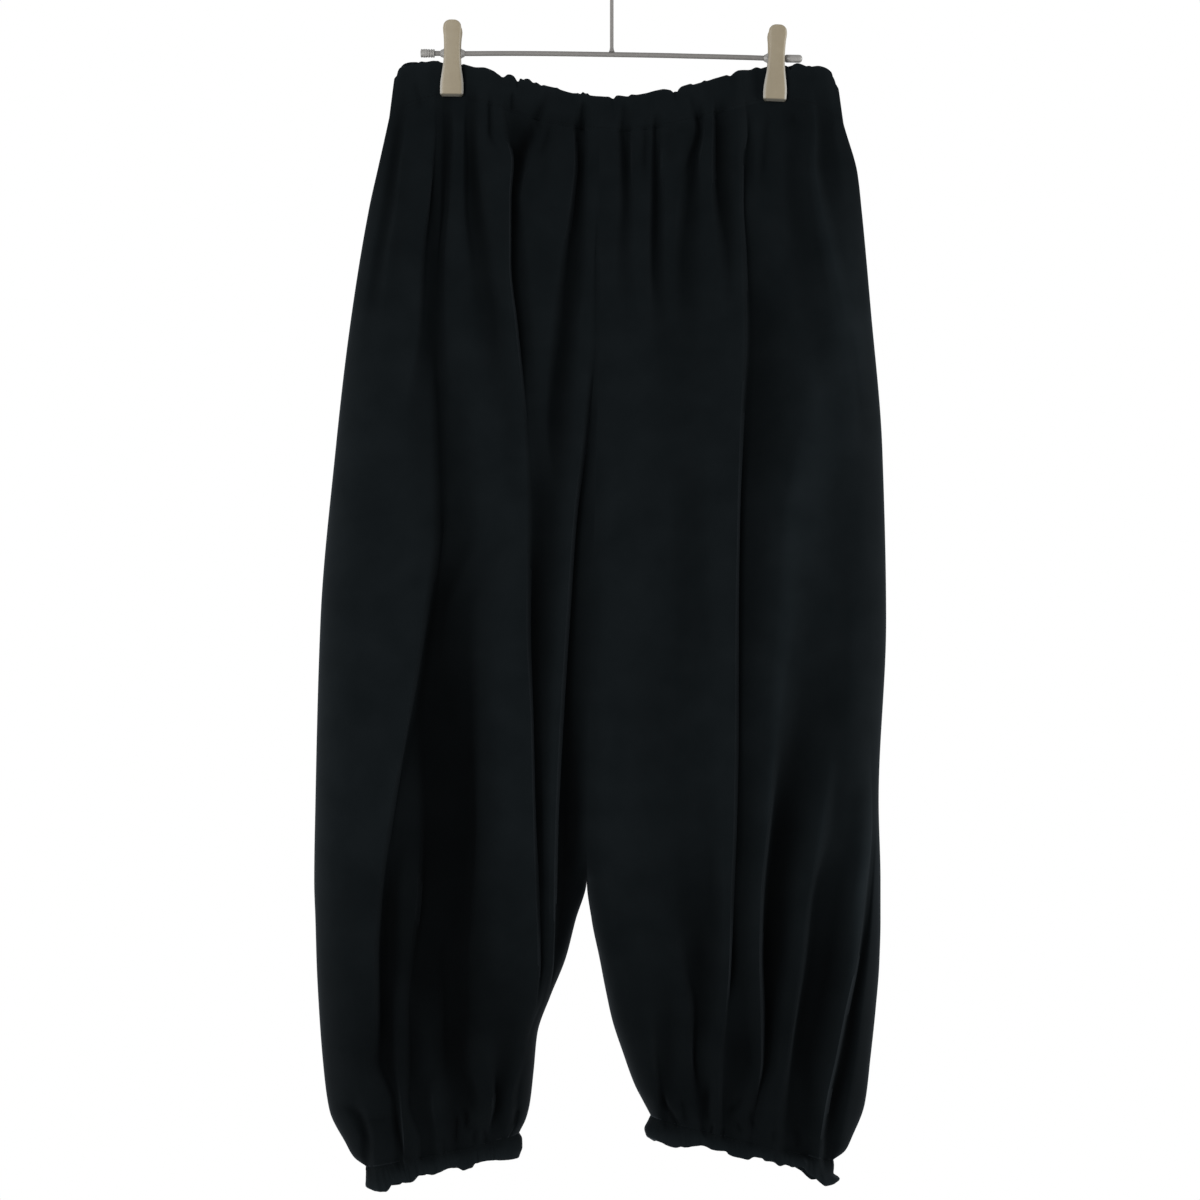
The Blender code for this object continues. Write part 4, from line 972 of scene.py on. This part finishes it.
def leg_panel(leg, face, finish):
    """One cut panel of a leg, from side seam to centre seam and inseam."""
    falls = panel_rows()
    plan = column_plan(leg, face)
    outer, hollow = panel_points(leg, face, falls, plan)
    outer = trim_to_seams(outer, leg)
    normals = grid_normals(outer)
    normals *= np.sign((normals[:, :, 1] * FACINGS[face]).sum())
    normals[0, :, 2] = 0.0
    normals[-1, :, 2] = 0.0
    normals[:, 0, 1:] = 0.0
    apart = falls >= CROTCH_FALL
    normals[apart, -1, 1] = 0.0
    normals[~apart, -1, 0] = 0.0
    from_centre = np.abs(outer[:, :, 0] - outer[:, -1:, 0])
    normals[~apart, :, 0] *= np.clip(from_centre[~apart] / CENTRE_REACH, 0, 1)
    normals[int(np.argmax(apart)), -1] = (0.0, 0.0, -1.0)
    normals /= np.linalg.norm(normals, axis=2, keepdims=True)
    inner = outer - CLOTH * normals
    inner[0, :, 2] = -WAIST_SEAM_FALL - hung_fall(leg, falls[0], inner[0, :, 0]) + LAP
    inner[-1, :, 2] = -WAIST_SEAM_FALL - hung_fall(leg, falls[-1], inner[-1, :, 0]) - LAP
    name = f"cloth_{face}_leg_{leg}"
    return add_piece(name, shell(name, outer, inner, closed=False, hollow=hollow), finish)


def seam_depth(leg, face, across, fall):
    """Depth and hollows of a panel's upper or lower edge, for the piece sewn to it."""
    row = np.array([fall], float)
    lines, line_depths = fold_lines(leg, face, row)
    inward = -SIDES[leg]
    folds = curve_through(lines[0] * inward, line_depths[0], across * inward)
    return cloth_depth(leg, face, row, across[None, :], folds[None, :])[0], folds


def casing_ridges(across):
    """Fine upright gathers of the casing, uneven in width."""
    wander = sum(wave(across, row) for row in RIDGE_WANDER)
    return RIDGE_BASE + sum(wave(across, row, wander) for row in RIDGE_WAVES)


def casing_row(face, level):
    """Outer points, inner points and painted shade of the casing; level 0 is the seam, 1 the rim.
    """
    centre = OUTLINE[0, OUTLINE_COLUMNS.index("left_inseam")]
    seam_low, seam_high = (OUTLINE[0, OUTLINE_COLUMNS.index(f"{leg}_side")] for leg in SIDES)
    low, high = seam_low + CASING_TAPER * level, seam_high - CASING_TAPER * level
    middle = (low + high) / 2
    across = low + (high - low) * crowded_ends(WAIST_COLUMNS, WAIST_CROWDING)
    seam_place = middle + (across - middle) * (seam_high - seam_low) / (high - low)
    seen_from = across if face == "front" else low + high - across
    lift = curve_through(CASING_EDGE[:, 0], CASING_EDGE[:, 1], seen_from) * level ** 3
    rise = CASING_HEIGHT * level - (LAP if level == 0 else 0.0)
    height = rise + lift - WAIST_SEAM_FALL - waist_shift(across, level)
    plain, folds, relief = (np.empty_like(across) for _ in range(3))
    for leg, side in SIDES.items():
        chosen = (across < centre) == (side < 0)
        plain[chosen], folds[chosen] = seam_depth(leg, face, seam_place[chosen], 0.0)
        relief[chosen] = small_folds(leg, face, across[chosen],
                                     -WAIST_SEAM_FALL - height[chosen])
    share = np.clip(1 - level / FOLDS_REACH, 0, 1) ** 2
    filled = CASING_FILL * folds * (1 - share) + CASING_SWELL * np.sin(np.pi * level)
    drawn = relief + casing_ridges(seen_from) * level + RIM_DRAW * np.abs(lift)
    free = CASING_FREEDOM + pinch(across, 0.0)
    from_side = np.minimum(across - low, high - across)
    raised = free * (filled - drawn) * turned_edge(from_side, CASING_ROUND)
    depth = np.maximum(plain + raised, LEAST_CASING_DEPTH)
    drawn_in = middle + (across - middle) * (1 - 2 * CASING_WALL / (high - low))
    depth_in = np.maximum(plain - CASING_WALL - CASING_INSET, 0.0)
    height_in = rise + lift - WAIST_SEAM_FALL - waist_shift(drawn_in, level)
    facing = FACINGS[face]
    # Painted shade from the folds and creases, less towards the rim, with a painted highlight at
    # the rim
    hollow = shade_of(folds * share + SMALL_FOLD_SHADE * relief, -WAIST_SEAM_FALL - height)
    return (np.column_stack((across, facing * (depth - LAP), height)),
            np.column_stack((drawn_in, facing * (depth_in - LAP), height_in)),
            hollow - RIM_PAINTED_HIGHLIGHT * level ** 8)


def waistband(face, finish, thread):
    """Half of the elastic casing, side seam to side seam, and its line of stitches."""
    rows = [casing_row(face, level) for level in np.linspace(0, 1, WAIST_ROWS)]
    outer, inner, hollow = (np.array(part) for part in zip(*rows))
    mesh = shell(f"cloth_waistband_{face}", outer, inner, closed=False, hollow=hollow)
    sewing = stitches(f"stitches_waistband_{face}", outer, FACINGS[face], thread)
    return add_piece(mesh.name, mesh, finish), sewing


def place_along(path, run, at):
    """The point, or direction, at a distance along a path."""
    return np.array([np.interp(at, run, path[:, i]) for i in range(3)])


def stitches(name, outer, facing, finish):
    """A line of separate stitches, half sunk in a casing, just off its seam."""
    normals = grid_normals(outer)
    normals *= np.sign((normals[:, :, 1] * facing).sum())
    path, out = outer[STITCHED_ROW], normals[STITCHED_ROW]
    run = np.concatenate(((0.0,), np.cumsum(np.linalg.norm(np.diff(path, axis=0), axis=1))))
    turn = 2 * np.pi * np.arange(STITCH_SIDES) / STITCH_SIDES
    around = range(STITCH_SIDES)
    points, faces = [], []
    for start in np.arange(STITCH_PITCH / 2, run[-1] - STITCH_PITCH, STITCH_PITCH):
        first = len(points)
        heading = place_along(path, run, start + STITCH_LENGTH) - place_along(path, run, start)
        heading /= np.linalg.norm(heading)
        raised = place_along(out, run, start + STITCH_LENGTH / 2)
        raised -= raised.dot(heading) * heading
        raised /= np.linalg.norm(raised)
        beside = np.cross(heading, raised)
        ring = np.cos(turn)[:, None] * raised + np.sin(turn)[:, None] * beside
        for share, size in STITCH_RINGS:
            middle = place_along(path, run, start + share * STITCH_LENGTH)
            points += list(middle + STITCH_RADIUS * size * ring)
        last = len(points) - STITCH_SIDES
        for low in range(first, last, STITCH_SIDES):
            high = low + STITCH_SIDES
            faces += [(low + i, low + j, high + j, high + i)
                      for i, j in zip(around, (*around[1:], 0))]
        faces += [tuple(first + i for i in reversed(around)), tuple(last + i for i in around)]
    mesh = bpy.data.meshes.new(name)
    mesh.from_pydata((np.array(points) * MM).tolist(), [], faces)
    face_outwards(mesh)
    return add_piece(name, mesh, finish)


def ruffle(share, level):
    """Gathers of a cuff: fine at its seam, wider and deeper at the hem."""
    wander = sum(wave(share, row) for row in RUFFLE_WANDER)
    broad, fine = wave(share, RUFFLE_BROAD, wander), wave(share, RUFFLE_FINE, wander)
    growth, least = RUFFLE_CALM
    calm = np.clip(growth * np.minimum(share, 1 - share), least, 1)
    widened = RUFFLE_SEAM + (1 - RUFFLE_SEAM) * level ** 2
    return ease(level / RUFFLE_START) * calm * (widened * broad + fine)


def cuff(leg, finish, thread):
    """Gathered ring that closes round the ankle, with a frilled hem, and its stitches."""
    seam_in, seam_out = (np.array(p, float) for p in CUFFS[leg])
    hem = np.array(HEMS[leg], float)
    outward = SIDES[leg]
    share = crowded_ends(CUFF_COLUMNS + 1, CUFF_CROWDING)
    share = np.concatenate((share[:-1], share[::-1][:-1]))
    front = np.arange(len(share)) < CUFF_COLUMNS
    facing = np.where(front, -1.0, 1.0)
    width = np.linalg.norm(seam_out - seam_in)
    outer, inner, hollows = [], [], []
    for level in np.linspace(0, 1, CUFF_ROWS):
        bulge_in, bulge_out = (curve_value(BULGE_LEVELS, row, level)
                               for row in CUFF_BULGES[leg])
        blend = ease(level / CUFF_BLEND)
        plain = CUFF_DEPTH * (1 + CUFF_FLARE * level ** 2)
        for rows, wall in ((outer, 0.0), (inner, CASING_WALL)):
            along = wall / width + share * (1 - 2 * wall / width)
            seam = seam_in + along[:, None] * (seam_out - seam_in)
            below = hem[0, 0] + along * (hem[-1, 0] - hem[0, 0])
            drop, behind = (curve_through(hem[:, 0] * outward, hem[:, 1], below * outward + shift)
                            for shift in (0.0, BACK_HEM_SHIFT))
            drop = np.where(front, drop, behind)
            across = seam[:, 0] * (1 - level) + below * level
            across -= outward * bulge_in * np.exp(-(along / BULGE_REACH) ** 2)
            across += outward * bulge_out * np.exp(-((1 - along) / BULGE_REACH) ** 2)
            fall = seam[:, 1] * (1 - level) + drop * level - (LAP if level == 0 else 0.0)
            edge = np.minimum(along, 1 - along) * width - wall
            sewn, folds = np.empty_like(across), np.empty_like(across)
            for face, side in (("front", front), ("back", ~front)):
                sewn[side], folds[side] = seam_depth(leg, face, seam[side, 0], HEM_FALL)
            depth = sewn * (1 - blend) + plain * turned_edge(edge, CUFF_ROUND) * blend
            if wall == 0.0:
                swell = ruffle(share, level) + CUFF_SWELL * np.sin(np.pi * level) ** 2
                relief = small_folds(leg, "front", across, fall) * (1 - level)
                depth += swell * turned_edge(edge, RUFFLE_ROUND) - CUFF_CREASING * relief
                # Painted shade from the leg's folds, fading down the cuff, and a painted
                # highlight at the hem
                painted_fold_shade = shade_of(folds * (1 - blend) + SMALL_FOLD_SHADE * relief, HEM_FALL)
                hollows.append(painted_fold_shade * (1 - level) ** 0.7 - HEM_PAINTED_HIGHLIGHT * level ** 2)
            depth = np.maximum(depth - wall, 0.0)
            rows.append(np.column_stack((across, facing * depth, -WAIST_SEAM_FALL - fall)))
    outer = np.array(outer)
    mesh = shell(f"cloth_cuff_{leg}", outer, np.array(inner), closed=True,
                 hollow=np.array(hollows))
    sewing = stitches(f"stitches_cuff_{leg}", outer, facing, thread)
    return add_piece(mesh.name, mesh, finish), sewing


# ---- hanger -------------------------------------------------------------
def bar_height(across):
    bow = curve_value(BAR_BOW[:, 0], BAR_BOW[:, 1], across)
    return bow - BAR_FALL - math.tan(BAR_TILT) * across


def select_only(piece):
    for other in bpy.context.view_layer.objects:
        other.select_set(other is piece)
    bpy.context.view_layer.objects.active = piece


def finish_piece(piece, name, material, place=None):
    """Name a modelled piece, move its place into its mesh, and round its shading."""
    select_only(piece)
    for modifier in list(piece.modifiers):
        bpy.ops.object.modifier_apply(modifier=modifier.name)
    if place is not None:
        piece.data.transform(place)
    piece.name = piece.data.name = name
    piece.data.materials.clear()
    piece.data.materials.append(material)
    bpy.ops.object.shade_smooth_by_angle(angle=SMOOTH_BELOW)
    return piece


def turned_piece(name, profile, steps, place, material):
    """A round piece: a circle extruded and widened along its profile, from
    (radius, along) to (radius, along). A profile that ends where it began is
    a ring; any other has its two ends filled."""
    ring = profile[0] == profile[-1]
    select_only(None)
    bpy.ops.mesh.primitive_circle_add(vertices=steps, radius=profile[0][0] * MM,
                                      location=(0, 0, profile[0][1] * MM))
    piece = bpy.context.object
    bpy.ops.object.transform_apply(location=True)
    bpy.ops.object.mode_set(mode="EDIT")
    bpy.ops.mesh.select_all(action="SELECT")
    if not ring:
        bpy.ops.mesh.edge_face_add()
    for (radius, along), (next_radius, next_along) in zip(profile, profile[1:]):
        bpy.ops.mesh.extrude_region_move(
            TRANSFORM_OT_translate={"value": (0, 0, (next_along - along) * MM)})
        grow = next_radius / radius
        bpy.ops.transform.resize(value=(grow, grow, 1))
    bpy.ops.mesh.select_all(action="SELECT")
    bpy.ops.mesh.remove_doubles(threshold=MERGED_WITHIN * MM)
    bpy.ops.mesh.normals_make_consistent(inside=False)
    bpy.ops.object.mode_set(mode="OBJECT")
    return finish_piece(piece, name, material, place)


def along_bar(across, lean=0.0):
    """Place of a turned piece's axis at `across` on the bar, pointing to +X."""
    return (Matrix.Translation((across * MM, 0, bar_height(across) * MM))
            @ Matrix.Rotation(math.pi / 2 + BAR_TILT + lean, 4, "Y"))


def hanger_bar(material):
    """The bar, turned straight and level, then bent and tilted."""
    half = (BAR_RIGHT_END - BAR_LEFT_END) / 2
    middle = (BAR_RIGHT_END + BAR_LEFT_END) / 2
    end = [(BAR_RADIUS + thinner, half + shorter) for thinner, shorter in BAR_END]
    straight = end[-1][1]
    profile = [(radius, -along) for radius, along in end]
    profile += [(BAR_RADIUS, along)
                for along in np.linspace(-straight, straight, BAR_STATIONS)[1:-1]]
    profile += reversed(end)
    level = Matrix.Translation((middle * MM, 0, 0)) @ Matrix.Rotation(math.pi / 2, 4, "Y")
    piece = turned_piece("steel_bar", profile, BAR_SIDES, level, material)
    for vert in piece.data.vertices:
        vert.co.z += bar_height(vert.co.x / MM) * MM
    return piece


def hanger_hook(material):
    """Stem and hook bent from one wire; the hook opens towards -X."""
    radius = HOOK_INNER_RADIUS + WIRE_RADIUS
    turn = np.radians(np.linspace(HOOK_TIP_ANGLE, HOOK_NECK_ANGLE, HOOK_STATIONS))
    places = [(radius * math.cos(a), 0.0, radius * math.sin(a) - HOOK_INNER_RADIUS) for a in turn]
    start = np.array(places[-1])
    heading = np.array((math.sin(turn[-1]), 0.0, -math.cos(turn[-1])))
    end = np.array((0.0, 0.0, -STEM_TOP_FALL))
    handles = (start, start + NECK_REACH * heading, end + np.array((0, 0, NECK_REACH)), end)
    for t in np.linspace(0, 1, NECK_STATIONS)[1:]:
        weights = ((1 - t) ** 3, 3 * t * (1 - t) ** 2, 3 * t * t * (1 - t), t ** 3)
        places.append(tuple(sum(w * h for w, h in zip(weights, handles))))
    foot = bar_height(0.0) + BAR_RADIUS + FOOT_GAP
    places += [(0.0, 0.0, foot + lift) for lift, _ in HOOK_FOOT]
    curve = bpy.data.curves.new("hook wire", "CURVE")
    curve.dimensions = "3D"
    curve.bevel_depth = WIRE_RADIUS * MM
    curve.bevel_resolution = WIRE_ROUNDING
    curve.use_fill_caps = True
    spline = curve.splines.new("POLY")
    spline.points.add(len(places) - 1)
    for point, place in zip(spline.points, places):
        point.co = (*(value * MM for value in place), 1.0)
    for point, (_, size) in zip(list(spline.points)[-len(HOOK_FOOT):], HOOK_FOOT):
        point.radius = size
    wire = bpy.data.objects.new("hook wire", curve)
    bpy.context.scene.collection.objects.link(wire)
    select_only(wire)
    bpy.ops.object.convert(target="MESH")
    piece = bpy.context.object
    bpy.ops.object.mode_set(mode="EDIT")
    bpy.ops.mesh.select_all(action="SELECT")
    bpy.ops.mesh.remove_doubles(threshold=MERGED_WITHIN * MM)
    bpy.ops.object.mode_set(mode="OBJECT")
    return finish_piece(piece, "steel_hook", material)


def clip_barrel(side, material):
    """Clear sleeve on the bar, flared to a collar at each side of the jaws."""
    to_right, to_left = BARREL_ENDS[side]
    profile = [(radius, inset - to_right) for radius, inset in BARREL_FLANK]
    profile += [(radius, to_left - inset) for radius, inset in reversed(BARREL_FLANK)]
    profile.append(profile[0])
    place = along_bar(CLIP_X[side])
    return turned_piece(f"clear_barrel_{side}", profile, SLEEVE_SIDES, place, material)


def bar_stopper(side, material):
    """Cap over an end of the bar: ribbed on the right, plain and rounded on the left."""
    length = STOPPER_LENGTHS[side]
    if side == "left":
        place, outside = along_bar(BAR_RIGHT_END), ROUND_CAP
    else:
        place = along_bar(BAR_LEFT_END, math.pi)
        backs = np.linspace(*RIBS_SPAN, 2 * STOPPER_RIBS + 1)
        deeps = [RIB_DEPTHS[i % len(RIB_DEPTHS)] if i % 2 else 0.0 for i in range(len(backs))]
        ribs = [(RIBBED_RADIUS - deep, back) for deep, back in zip(deeps, backs)]
        outside = (*RIBBED_TIP, *ribs, (RIBBED_MOUTH, length))
    bore = (*STOPPER_FLOOR, (BORE, length))
    profile = [(radius, STOPPER_TIP - back) for radius, back in (*bore, *reversed(outside))]
    return turned_piece(f"clear_stopper_{side}", profile, SLEEVE_SIDES, place, material)


def clip_jaw(side, face, material):
    """Leaf of a clip: a shaped plate, narrow at the bar and wide at the pad."""
    stations = np.array(JAW_SECTIONS)[::-1]
    heights = np.concatenate([np.linspace(*span) for span in JAW_ROWS])
    heights = heights[np.concatenate(((True,), np.diff(heights) != 0))]
    half_widths, inner_faces = (curve_through(stations[:, 0], stations[:, i], heights)
                                for i in (1, 2))
    last = len(heights) - 1
    select_only(None)
    bpy.ops.mesh.primitive_grid_add(x_subdivisions=JAW_COLUMNS, y_subdivisions=last, size=2)
    piece = bpy.context.object
    lean = CLIP_LEAN[side] + BAR_TILT
    x = CLIP_X[side]
    paler_edges, lip_painted_shade = [], []
    for vert in piece.data.vertices:
        row = round((1 - vert.co.y) / 2 * last)
        height = heights[row]
        outer = max(0.0, (abs(vert.co.x) - JAW_CHAMFER[0]) / (1 - JAW_CHAMFER[0]))
        turned = max(0.0, (JAW_LIP[0] - height) / (JAW_LIP[0] - heights[-1]))
        swell = JAW_CROWN * (1 - vert.co.x ** 2) - JAW_CHAMFER[1] * outer - JAW_LIP[1] * turned
        local_x = vert.co.x * half_widths[row]
        vert.co = (x + local_x + height * math.sin(lean),
                   FACINGS[face] * (inner_faces[row] + JAW_THICKNESS + swell),
                   bar_height(x) + height - local_x * math.sin(lean))
        vert.co *= MM
        below = min(1.0, max(0.0, -height / PALER_EDGE_DROP))
        paler_edges.append(min(1.0, PALER_EDGE_GAIN * outer) * below * (1 - turned))
        # Painted shade on the turned-in lower lip, which faces down
        lip_painted_shade.append(min(1.0, LIP_SHADE_GAIN * turned))
    for name, values in (("paler_edges", paler_edges), ("lip_painted_shade", lip_painted_shade)):
        piece.data.attributes.new(name, "FLOAT", "POINT").data.foreach_set("value", values)
    if face == "back":
        piece.data.flip_normals()
    solidify = piece.modifiers.new("Solidify", "SOLIDIFY")
    solidify.thickness = (JAW_THICKNESS - JAW_CHAMFER[1] - JAW_SPARE) * MM
    solidify.offset = -1.0
    bevel = piece.modifiers.new("Bevel", "BEVEL")
    bevel.width = JAW_EDGE * MM
    bevel.segments = JAW_EDGE_STEPS
    bevel.limit_method = "ANGLE"
    bevel.angle_limit = JAW_EDGE_ANGLE
    return finish_piece(piece, f"clip_jaw_{face}_{side}_plastic", material)


# ---- materials ----------------------------------------------------------
def new_material(name):
    made = bpy.data.materials.new(name)
    made.use_nodes = True
    nodes = made.node_tree.nodes
    return made, nodes, made.node_tree.links, nodes["Principled BSDF"]


def set_sockets(node, **values):
    for key, value in values.items():
        node.inputs[key.replace("_", " ")].default_value = value


def add_node(nodes, kind, **values):
    """A node with its own settings and its sockets' values."""
    node = nodes.new(kind)
    for key, value in values.items():
        if hasattr(node, key):
            setattr(node, key, value)
        else:
            set_sockets(node, **{key: value})
    return node


def drifting_colour(nodes, links, place, noise, tones, ends=(0.0, 1.0)):
    """A colour that drifts softly between two tones; `noise` is its scale and detail."""
    cloud = add_node(nodes, "ShaderNodeTexNoise", Scale=noise[0], Detail=noise[1])
    links.new(place, cloud.inputs["Vector"])
    tint = nodes.new("ShaderNodeValToRGB")
    for i, (end, tone) in enumerate(zip(ends, tones)):
        tint.color_ramp.elements[i].position = end
        tint.color_ramp.elements[i].color = (*tone, 1)
    links.new(cloud.outputs["Fac"], tint.inputs["Fac"])
    return tint.outputs["Color"]


def hard_finish(name, noise, tones, layers=(), **sockets):
    """A finish with a drifting colour, and other tones where the piece's attributes say."""
    made, nodes, links, shader = new_material(name)
    where = nodes.new("ShaderNodeTexCoord")
    colour = drifting_colour(nodes, links, where.outputs["Object"], noise, tones)
    for attribute, tone in layers:
        amount = nodes.new("ShaderNodeAttribute")
        amount.attribute_name = attribute
        blend = nodes.new("ShaderNodeMix")
        blend.data_type = "RGBA"
        blend.inputs["B"].default_value = (*tone, 1)
        links.new(amount.outputs["Fac"], blend.inputs["Factor"])
        links.new(colour, blend.inputs["A"])
        colour = blend.outputs["Result"]
    links.new(colour, shader.inputs["Base Color"])
    set_sockets(shader, **sockets)
    return made


def black_cloth():
    made, nodes, links, shader = new_material("black cloth")
    set_sockets(shader, Roughness=0.78, Specular_IOR_Level=0.015, Sheen_Weight=0.07,
                Sheen_Roughness=0.4, Sheen_Tint=(0.75, 0.88, 1.0, 1.0))
    where = add_node(nodes, "ShaderNodeUVMap", uv_map="cloth")
    tint = drifting_colour(nodes, links, where.outputs["UV"], (26.0, 4.0),
                           ((0.0031, 0.0043, 0.0050), (0.0045, 0.0060, 0.0069)), (0.3, 0.75))
    # Painted shade and highlight: the colour is scaled from 2.2 times on a ridge to 0.24 times
    # deep in a fold
    hollow = add_node(nodes, "ShaderNodeAttribute", attribute_name="hollow")
    shade = add_node(nodes, "ShaderNodeMapRange", From_Min=-1.0, To_Min=2.2, To_Max=0.24)
    links.new(hollow.outputs["Fac"], shade.inputs["Value"])
    deep = add_node(nodes, "ShaderNodeVectorMath", operation="SCALE")
    links.new(tint, deep.inputs[0])
    links.new(shade.outputs["Result"], deep.inputs["Scale"])
    links.new(deep.outputs["Vector"], shader.inputs["Base Color"])
    crepe = add_node(nodes, "ShaderNodeTexNoise", Scale=900.0, Detail=3.0)
    links.new(where.outputs["UV"], crepe.inputs["Vector"])
    bump = add_node(nodes, "ShaderNodeBump", Strength=0.5, Distance=0.0002)
    links.new(crepe.outputs["Fac"], bump.inputs["Height"])
    links.new(bump.outputs["Normal"], shader.inputs["Normal"])
    return made


def black_thread():
    return hard_finish("black thread", (700.0, 2.0),
                       ((0.0026, 0.0036, 0.0042), (0.0044, 0.0056, 0.0064)),
                       Roughness=0.6, Specular_IOR_Level=0.04)


def steel():
    return hard_finish("satin steel", (420.0, 4.0),
                       ((0.165, 0.158, 0.150), (0.225, 0.215, 0.205)),
                       Metallic=0.15, Roughness=0.7)


def taupe_plastic():
    """Moulded plastic, paler along the lower side edges, with painted shade on the turned-in
    lower lip.
    """
    return hard_finish("taupe plastic", (160.0, 3.0),
                       ((0.222, 0.184, 0.122), (0.258, 0.220, 0.152)),
                       # Painted shade: the turned-in lower lip is painted dark brown
                       (("paler_edges", (0.40, 0.39, 0.36)), ("lip_painted_shade", (0.05, 0.046, 0.034))),
                       Roughness=0.5)


def clear_plastic():
    return hard_finish("clear plastic", (300.0, 3.0),
                       ((0.34, 0.33, 0.31), (0.46, 0.45, 0.43)),
                       Roughness=0.3, Transmission_Weight=0.35, IOR=1.45)


# ---- studio -------------------------------------------------------------
def aimed(place, aim):
    """Place and turn of a lamp that shines from `place` at `aim`."""
    back = np.array(place) - np.array(aim)
    side = np.cross((0, 0, 1), back)
    side /= np.linalg.norm(side)
    back /= np.linalg.norm(back)
    return Matrix((*zip(side, np.cross(back, side), back, place), (0, 0, 0, 1)))


def camera_and_lamps(scene):
    camera = bpy.data.cameras.new("camera")
    camera.sensor_width = SENSOR_WIDTH
    camera.lens = CAMERA_LENS
    camera.clip_end = 50
    view = bpy.data.objects.new("camera", camera)
    view.location = CAMERA_PLACE
    view.rotation_euler = (math.pi / 2, 0, 0)
    scene.collection.objects.link(view)
    scene.camera = view
    for name, place, aim, size, power in LIGHTS:
        light = bpy.data.lights.new(name, "AREA")
        light.size = size
        light.energy = power
        lamp = bpy.data.objects.new(name, light)
        lamp.matrix_world = aimed(place, aim)
        scene.collection.objects.link(lamp)


def surroundings(scene):
    """White all round: bright where the camera sees it, dimmer where it lights the piece."""
    world = bpy.data.worlds.new("studio")
    world.use_nodes = True
    scene.world = world
    nodes, links = world.node_tree.nodes, world.node_tree.links
    nodes.clear()
    out = nodes.new("ShaderNodeOutputWorld")
    mix = nodes.new("ShaderNodeMixShader")
    path = nodes.new("ShaderNodeLightPath")
    links.new(path.outputs["Is Camera Ray"], mix.inputs["Fac"])
    for i, strength in enumerate((WORLD_GLOW, BACKDROP_GLOW), 1):
        glow = add_node(nodes, "ShaderNodeBackground", Color=(1, 1, 1, 1), Strength=strength)
        links.new(glow.outputs["Background"], mix.inputs[i])
    links.new(mix.outputs["Shader"], out.inputs["Surface"])


def floor():
    """A pale round floor that fades out towards its edge."""
    select_only(None)
    bpy.ops.mesh.primitive_circle_add(vertices=96, radius=FLOOR_RADIUS, fill_type="NGON",
                                      location=(0, 0, 0))
    made = bpy.context.object
    made.data.transform(Matrix.Translation((0, 0, FLOOR_HEIGHT)))
    made.name = made.data.name = "floor"
    pale, nodes, links, shader = new_material("pale floor")
    set_sockets(shader, Base_Color=(0.9, 0.9, 0.9, 1), Roughness=0.9)
    where = nodes.new("ShaderNodeTexCoord")
    flat = add_node(nodes, "ShaderNodeVectorMath", operation="MULTIPLY")
    flat.inputs[1].default_value = (1, 1, 0)
    links.new(where.outputs["Object"], flat.inputs[0])
    far = add_node(nodes, "ShaderNodeVectorMath", operation="LENGTH")
    links.new(flat.outputs["Vector"], far.inputs[0])
    fade = add_node(nodes, "ShaderNodeMapRange", interpolation_type="SMOOTHSTEP",
                    From_Min=FLOOR_FADE[0], From_Max=FLOOR_FADE[1], To_Min=1.0, To_Max=0.0)
    links.new(far.outputs["Value"], fade.inputs["Value"])
    links.new(fade.outputs["Result"], shader.inputs["Alpha"])
    made.data.materials.append(pale)


def studio():
    scene = bpy.context.scene
    scene.view_settings.view_transform = "Standard"
    scene.view_settings.look = "None"
    camera_and_lamps(scene)
    surroundings(scene)
    floor()


def main():
    select_only(None)
    cloth, thread = black_cloth(), black_thread()
    metal, plastic, clear = steel(), taupe_plastic(), clear_plastic()
    studio()

    def keep(piece, node):
        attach(piece, "root")
        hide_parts(node)
        return piece

    def sew(sewing):
        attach(sewing, "root")
        return sewing.name

    for face in FACINGS:
        band, sewing = waistband(face, cloth, thread)
        keep(band, f"waistband_{face}")
        sew(sewing)
        for leg in SIDES:
            panel = keep(leg_panel(leg, face, cloth), f"{face}_leg_{leg}")
    for leg in SIDES:
        ring, sewing = cuff(leg, cloth, thread)
        keep(ring, f"cuff_{leg}")
        sew(sewing)
    keep(hanger_bar(metal), "hanger_bar")
    keep(hanger_hook(metal), "hanger_hook")
    for side in SIDES:
        keep(clip_barrel(side, clear), f"clip_barrel_{side}")
        keep(bar_stopper(side, clear), f"bar_stopper_{side}")
        for face in FACINGS:
            keep(clip_jaw(side, face, plastic), f"clip_jaw_{face}_{side}")


main()
